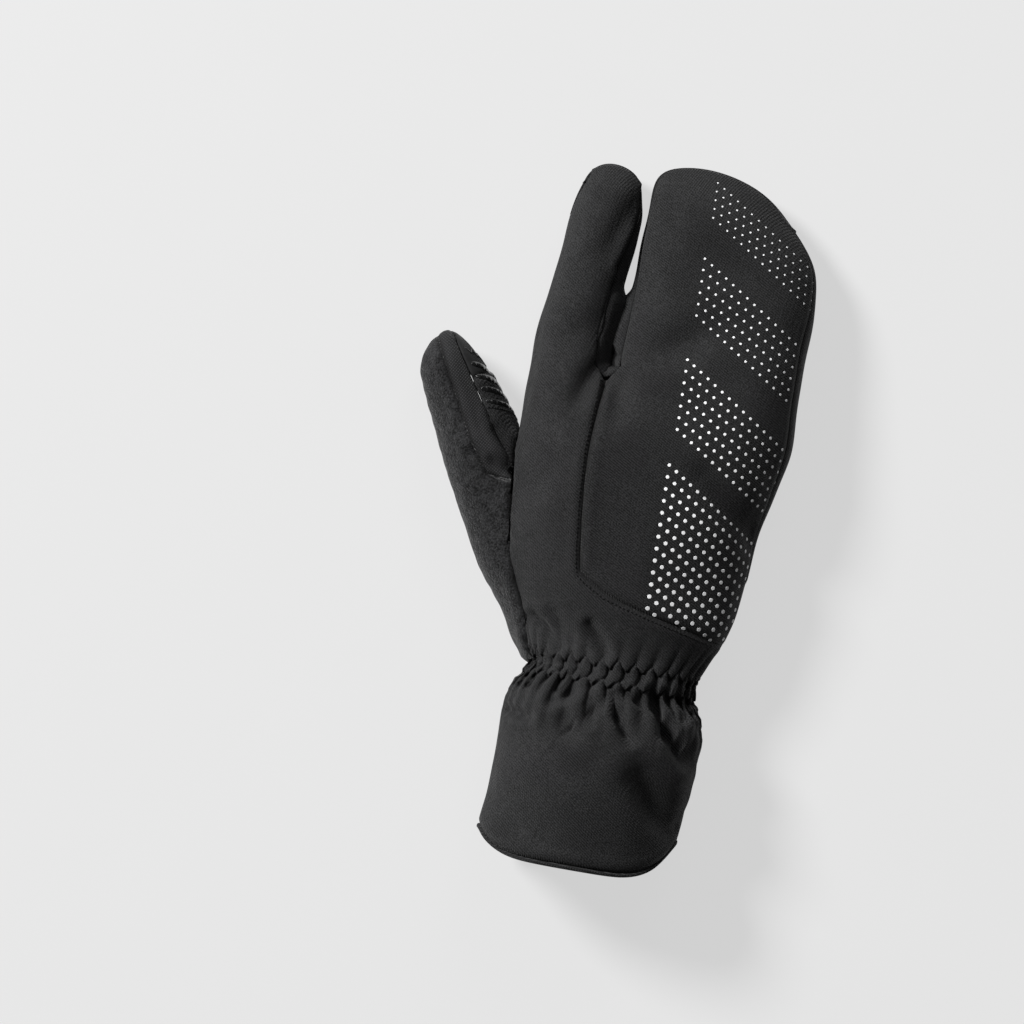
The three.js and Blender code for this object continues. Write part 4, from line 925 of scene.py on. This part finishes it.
# %% Reflective dots
ROW_WAY = Vector((3.33, -2.19, 0))
bands = [
    # first y, rows, step down, first and last diameter
    (208.0, 5, 3.70, 0.84, 0.84),
    (176.0, 6, 4.74, 1.04, 1.08),
    (133.8, 7, 4.82, 1.26, 1.34),
    (90.0, 13, 4.93, 1.50, 1.90),
]
BAND_X = 6.0
ROW_SHIFT = 0.12
MOST_DOTS = 26


def dot_places(surface):
    for y0, rows, down, first, last in bands:
        for r in range(rows):
            x, y = BAND_X + ROW_SHIFT * r, y0 - down * r
            size = first + (last - first) * r / max(rows - 1, 1)
            for _ in range(MOST_DOTS):
                met = meet(surface, x, y)
                if met is None or met[1].z < 0.1:
                    break
                yield met, size
                slope = -(met[1].x * ROW_WAY.x + met[1].y * ROW_WAY.y) / (met[1].z * ROW_WAY.length)
                step = 1 / math.sqrt(1 + slope * slope)
                x += ROW_WAY.x * step
                y += ROW_WAY.y * step


back_surface = surface_of("finger_back")
bm = bmesh.new()
bmesh.ops.create_cone(bm, cap_ends=True, segments=12, radius1=0.5 * MM, radius2=0.42 * MM,
                      depth=0.08 * MM)
dot = mesh_of(bm, "dot_template")
dots = []
for (point, normal), size in dot_places(back_surface):
    matrix = seated(point + normal * 0.03 * MM, normal, Vector((1, 0, 0)))
    dots.append((dot, matrix @ Matrix.Diagonal((size, size, 1, 1))))
joined("reflective_dots", dots, DOTS, smooth=False)

# %% [markdown]
# Stitches are small tapered pegs of thread, laid one after another along a seam; their near-black
# tone is the thread's own dark colour and also painted shade of the stitch holes. A path is a list
# of places; it is walked in even steps, and each step sets one stitch on the cloth.

# %% Stitches along a path
STITCH = 1.8
STITCH_SHARE = 0.6
THREAD_WIDTH = 0.7
THREAD_SINK = 0.15
bm = bmesh.new()
bmesh.ops.create_uvsphere(bm, u_segments=6, v_segments=5, radius=0.5 * MM)
peg = mesh_of(bm, "stitch_template")


def even_steps(path, step):
    """Places every step along a path of (x, y) pairs."""
    path = [Vector((x, y, 0)) for x, y in path]
    out, left = [], 0.0
    for a, b in zip(path, path[1:]):
        length = (b - a).length
        at = left
        while at < length:
            out.append((a.lerp(b, at / length), (b - a).normalized()))
            at += step
        left = at - length
    return out


def stitch_row(surface, path, down=True):
    parts = []
    for where, way in even_steps(path, STITCH):
        met = meet(surface, where.x, where.y, down)
        if met is None or abs(met[1].z) < 0.08:
            continue
        matrix = seated(met[0] + met[1] * (THREAD_WIDTH * 0.5 - THREAD_SINK) * MM, met[1], way)
        size = (STITCH * STITCH_SHARE, THREAD_WIDTH, THREAD_WIDTH, 1)
        parts.append((peg, matrix @ Matrix.Diagonal(size)))
    return parts


def offset(path, by):
    """The path moved sideways, to its right where by is positive."""
    out = []
    for i, (x, y) in enumerate(path):
        a = path[max(i - 1, 0)]
        b = path[min(i + 1, len(path) - 1)]
        way = Vector((b[0] - a[0], b[1] - a[1])).normalized()
        out.append((x + way.y * by, y - way.x * by))
    return out


seam_down = [(-25.9, 119.4), (-26.4, 107.5), (-27.3, 90), (-26.0, 68.8), (-24.1, 52.5), (-22.6, 43.0),
             (-22.0, 40.4), (-19.5, 38.4)]
seam_across = [(-19.5, 38.4), (-10.6, 33.5), (-2.9, 31.2), (9.5, 28.0), (20, 25.7), (29.7, 23.5),
               (38.0, 21.6)]
back_seam = seam_down + seam_across[1:]
outer_cloth = surface_of("back_shell")
rows = stitch_row(outer_cloth, offset(back_seam, 1.9))
joined("back_panel_stitches", rows, THREAD_WITH_HOLE_SHADE)

# %% [markdown]
# Grip bars are raised strips with rounded ends. Each starts as a small square end face. It is
# extruded from stop to stop along the bar, every stop being a place on the cloth with its
# normal, and the whole strip is then rounded by subdivision.

# %% Grip bars
STAND = Matrix(((0, 0, 1, 0), (1, 0, 0, 0), (0, 1, 0, 0), (0, 0, 0, 1)))
ROUNDING = 1.3
TAPER = 0.75
SUNK = 0.25


def strip(stops, width, thick):
    """A raised strip: a square end, extruded from stop to stop of (point, normal, way).

    Subdivision takes a quarter off its width and height, so it starts that much larger.
    """
    bm = bmesh.new()
    bmesh.ops.create_circle(bm, cap_ends=True, segments=4, radius=math.sqrt(0.5))
    bmesh.ops.rotate(bm, matrix=Matrix.Rotation(math.pi / 4, 3, "Z"), verts=bm.verts)
    end = bm.faces[:][0]
    last = Matrix.Identity(4)
    lift = Matrix.Translation((0, 0, (thick - SUNK) / 2 * MM))
    for i, (point, normal, way) in enumerate(stops):
        if i:
            made = bmesh.ops.extrude_face_region(bm, geom=[end])["geom"]
            end = next(g for g in made if isinstance(g, bmesh.types.BMFace))
        narrow = TAPER if i in (0, len(stops) - 1) else 1.0
        across, up = ROUNDING * width * narrow * MM, ROUNDING * (thick + SUNK) * MM
        size = Matrix.Diagonal((across, up, 1, 1))
        now = seated(point, normal, way) @ lift @ STAND @ size
        bmesh.ops.transform(bm, matrix=now @ last.inverted(), verts=end.verts)
        last = now
    return mesh_of(bm, "strip")


def even_normals(stops, rounds=3):
    """The stops with each normal drawn to its neighbours', so that a strip doesn't twist."""
    for _ in range(rounds):
        before = [stops[max(i - 1, 0)][1] for i in range(len(stops))]
        after = [stops[min(i + 1, len(stops) - 1)][1] for i in range(len(stops))]
        stops = [(point, (a + 2 * normal + b) / 4, way)
                 for (point, normal, way), a, b in zip(stops, before, after)]
    return stops


def even_heights(stops, rounds=2):
    """The stops with each height drawn to its neighbours', as a printed strip bridges a weave."""
    heights = [stop[0].z for stop in stops]
    for _ in range(rounds):
        ends = [heights[0], *heights, heights[-1]]
        heights = [(a + 2 * z + b) / 4 for a, z, b in zip(ends, heights, ends[2:])]
    return [(Vector((point.x, point.y, z)), normal, way)
            for (point, normal, way), z in zip(stops, heights)]


def stops_on(surface, path, down=False, step=2.2):
    """Stops every step along a path of (x, y) pairs, where it meets the cloth."""
    walked = even_steps(path, step)
    end = Vector((*path[-1], 0))
    if walked and (end - walked[-1][0]).length > 0.4 * step:
        walked.append((end, walked[-1][1]))
    stops = []
    for where, way in walked:
        met = meet(surface, where.x, where.y, down)
        if met is not None and abs(met[1].z) > 0.05:
            stops.append((*met, way))
    return even_heights(even_normals(stops)) if stops else stops


def strips(name, table):
    """One object from a table of rows (stops, width, thickness)."""
    whole = bmesh.new()
    for stops, width, thick in table:
        mesh = strip(stops, width, thick)
        whole.from_mesh(mesh)
        bpy.data.meshes.remove(mesh)
    bmesh.ops.recalc_face_normals(whole, faces=whole.faces)
    obj = subdivided(whole, name, 2)
    obj.data.shade_smooth()
    finish_print(obj, len(table), SILICONE)


REAR_WRIST = (400, 605)
REAR_SCALE = 0.402
REAR_TURN = math.radians(12)


def rear(px, py):
    """A place on the palm, from where the palm of the rear mitt shows it in the photograph."""
    dx, dy = px - REAR_WRIST[0], py - REAR_WRIST[1]
    s, c = math.sin(REAR_TURN), math.cos(REAR_TURN)
    return (REAR_SCALE * (dx * c + dy * s), REAR_SCALE * (dx * s - dy * c))


palm_bars = [
    ((341, 273), (396, 270), 1.0), ((339, 288), (429, 275), 1.5), ((336, 301), (477, 287), 2.0),
    ((337, 315), (532, 305), 2.3), ((331, 330), (538, 320), 2.5), ((334, 347), (534, 340), 2.5),
    ((334, 357), (532, 357), 2.3), ((348, 371), (529, 371), 2.0), ((357, 383), (526, 385), 1.6),
    ((366, 394), (524, 396), 1.1),
]
finger_bars = [
    ((389, 120), (441, 120), 2.8), ((388, 136), (441, 136), 2.2), ((388, 149.5), (440, 149.5), 1.6),
    ((389, 160.5), (439, 160.5), 1.1), ((476, 116), (572, 113), 2.6), ((475, 130), (573, 128), 2.1),
    ((475, 144), (573, 142), 1.5), ((475, 156), (572, 154), 1.0),
]
pad_bars = [
    ((430, 442), (505, 442), 1.0), ((419, 456), (508, 456), 1.5), ((407, 470), (508, 470), 2.0),
    ((395, 485), (506, 485), 2.3), ((384, 499), (498, 499), 1.8), ((381, 512), (484, 512), 1.2),
]


def below_crotch(x, y):
    """Draws the palm's bars together a little, so that they stay below the slit."""
    return (x, y - 8.0 * max(0.0, min((y - 84) / 46, 1.0)))


def bar_table(surface, bars, thick, move=lambda x, y: (x, y)):
    return [(stops_on(surface, [move(*rear(*a)), move(*rear(*b))]), width, thick)
            for a, b, width in bars]


def teeth(start, end, count, height):
    """A zigzag path between two places."""
    a, b = Vector((*start, 0)), Vector((*end, 0))
    side = Vector((a.y - b.y, b.x - a.x, 0)).normalized() * height
    return [tuple((a.lerp(b, i / count) + side * (i % 2))[:2]) for i in range(count + 1)]


palm_surface = surface_of("palm_shell", "index_tip_patch", "finger_gusset")
table = bar_table(palm_surface, palm_bars, 0.42, below_crotch)
table += bar_table(palm_surface, finger_bars, 0.4)
index_teeth = teeth(rear(387, 109), rear(442, 109), 12, -3.2)
table.append((stops_on(palm_surface, index_teeth, step=1.1), 0.9, 0.35))
strips("palm_grip_bars", table)
strips("heel_pad_grip_bars", bar_table(surface_of("palm_pad"), pad_bars, 0.36))

# %% [markdown]
# The thumb's bars wind round its pad like a screw thread, from its upper seam over the front
# edge to the underside. A ray from inside the thumb finds each stop: its angle is 90 degrees
# straight up, 0 at the front edge and -90 straight down, and its place along the thumb drops
# with that angle.

# %% Bars and zigzag round the thumb
PITCH_OF_THREAD = 0.127
RAYS_FROM = 15.0
FIRST_ANGLE, LAST_ANGLE = 84, -150


def thumb_meet(surface, along, degrees):
    angle = math.radians(degrees)
    front = Vector((LEAN[1], LEAN[0], 0))
    ray = front * math.cos(angle) + Vector((0, 0, math.sin(angle)))
    hit, normal, _, _ = surface.ray_cast(thumb_place(along, 0, RAYS_FROM), ray)
    return None if hit is None else (hit, normal)


def thumb_winding(surface, along, swing=0.0, step=8):
    """Stops of one winding; swing makes it a zigzag, in millimetres along the thumb."""
    met = []
    for i, degrees in enumerate(range(FIRST_ANGLE, LAST_ANGLE, -step)):
        at = along - PITCH_OF_THREAD * (60 - degrees) + swing * (i % 2)
        found = thumb_meet(surface, at, degrees)
        if found:
            met.append(found)
    stops = []
    for i, (point, normal) in enumerate(met):
        way = met[min(i + 1, len(met) - 1)][0] - met[max(i - 1, 0)][0]
        stops.append((point, normal, way))
    return even_normals(stops)


thumb_surface = surface_of("thumb_palm", "thumb_tip_patch")
thumb_bars = [(107.0, 1.0), (101.5, 2.0), (96.0, 2.2), (90.5, 2.0), (85.0, 1.6)]
table = [(thumb_winding(thumb_surface, along), width, 0.4) for along, width in thumb_bars]
table[0] = (thumb_winding(thumb_surface, 107.0, swing=2.4, step=9), 0.9, 0.35)
strips("thumb_grip_bars", [row for row in table if len(row[0]) > 2])

# %% [markdown]
# More stitching: two rows round the heel pad, one round the strap and round the woven patch,
# a row over the palm's lower seam, two arches round the cuff's slit, and one row across the
# thumb's pad. The rim of a flat piece is the convex outline of its corners, walked evenly and
# moved inwards.

# %% Stitches of the palm side and the thumb
def hull(points):
    """Convex outline of (x, y) pairs, anticlockwise."""
    points = sorted(set(points))

    def half(ordered):
        out = []
        for q in ordered:
            while len(out) > 1:
                (ax, ay), (bx, by) = out[-2:]
                if (bx - ax) * (q[1] - ay) - (by - ay) * (q[0] - ax) > 0:
                    break
                out.pop()
            out.append(q)
        return out[:-1]

    return half(points) + half(points[::-1])


def rim_path(node, inset):
    co = wrist_mm(read(dressed[node].data.vertices, "co", 3))
    rim = hull([(round(float(x), 2), round(float(y), 2)) for x, y, _ in co])
    walked = [tuple(w[:2]) for w, _ in even_steps(rim + rim[:1], 2.0)]
    return offset(walked + walked[:2], -inset)


rows = []
for inset in (1.4, 2.9):
    rows += stitch_row(surface_of("palm_pad"), rim_path("palm_pad", inset), down=False)
rows += stitch_row(surface_of("closure_strap"), rim_path("closure_strap", 1.6), down=False)
rows += stitch_row(surface_of("hook_patch"), rim_path("hook_patch", 1.3), down=False)
palm_seam = [(302, 574), (330, 579), (364, 575), (389, 581), (414, 590), (479, 594)]
rows += stitch_row(surface_of("palm_shell"), [rear(*at) for at in palm_seam], down=False)
slit_cloth = surface_of("cuff_palm")
SLIT_X, ARCH_Y, ARCH_FOOT = 28.5, -14, -28
for half in (7.5, 10.0):
    angles = [math.radians(t) for t in range(0, 181, 12)]
    arch = [(SLIT_X - half * math.cos(t), ARCH_Y + half * math.sin(t)) for t in angles]
    path = [(SLIT_X - half, ARCH_FOOT)] + arch + [(SLIT_X + half, ARCH_FOOT)]
    rows += stitch_row(slit_cloth, path, down=False)
winding = thumb_winding(thumb_surface, 82.0, step=4)
for a, b in zip(winding, winding[1:]):
    length = (b[0] - a[0]).length / MM
    matrix = seated(a[0] + a[1] * 0.1 * MM, a[1], b[0] - a[0])
    rows.append((peg, matrix @ Matrix.Diagonal((length * 0.75, THREAD_WIDTH, THREAD_WIDTH, 1))))
joined("palm_side_stitches", rows, THREAD_WITH_HOLE_SHADE)

# %% [markdown]
# The floor is a wide pale sheet that glows a little, like a light table, so that narrow gaps
# between the fingers stay bright. It throws no light back onto the cloth, whose sides stay
# dark. Big soft lights stand above it, the main one at the upper left. The camera looks
# straight down through a long lens, turned so that the mitt leans.

# %% Floor, light and camera
bm = bmesh.new()
bmesh.ops.create_grid(bm, x_segments=2, y_segments=2, size=3.0)
floor = new_object("floor", mesh_of(bm, "floor"))
pale = material("pale_floor", (0.8, 0.8, 0.8), 0.9, specular=0.1)
n = Nodes(pale)
n.tone(n.noise(40, 2), (0.18, 0.18, 0.18), (0.185, 0.185, 0.185))
n.shader.inputs["Emission Color"].default_value = (0.9, 0.9, 0.9, 1)
n.shader.inputs["Emission Strength"].default_value = 0.68
floor.data.materials.append(pale)
floor.visible_diffuse = False


def area_light(name, spot, target, size, power):
    data = bpy.data.lights.new(name, "AREA")
    data.shape = "DISK"
    data.size = size
    data.energy = power
    obj = new_object(name, data)
    obj.location = spot
    obj.rotation_euler = (Vector(target) - Vector(spot)).to_track_quat("-Z", "Y").to_euler()


area_light("key", (-2.6, 1.5, 2.2), (0, 0, 0), 1.0, 205)
area_light("top", (0.4, 2.6, 2.0), (0, 0, 0.03), 1.4, 10)
world = bpy.data.worlds.new("studio")
world.use_nodes = True
sky = world.node_tree.nodes["Background"].inputs
sky["Color"].default_value = (0.9, 0.9, 0.9, 1)
sky["Strength"].default_value = 0.1
bpy.context.scene.world = world
bpy.context.scene.view_settings.view_transform = "Standard"

LENS, SENSOR = 300.0, 36.0
PIXELS, PIXEL = 1024, 0.41
TURN = math.radians(10)
camera_data = bpy.data.cameras.new("camera")
camera_data.lens = LENS
camera_data.sensor_width = SENSOR
camera = new_object("camera", camera_data)
reach = PIXELS * PIXEL * MM * LENS / SENSOR
camera.location = place(-53.9, 60.0, 30) + Vector((0, 0, reach))
camera.rotation_euler = (0, 0, TURN)
camera_data.clip_end = 40
bpy.context.scene.camera = camera
print("camera height, m:", round(camera.location.z, 3))
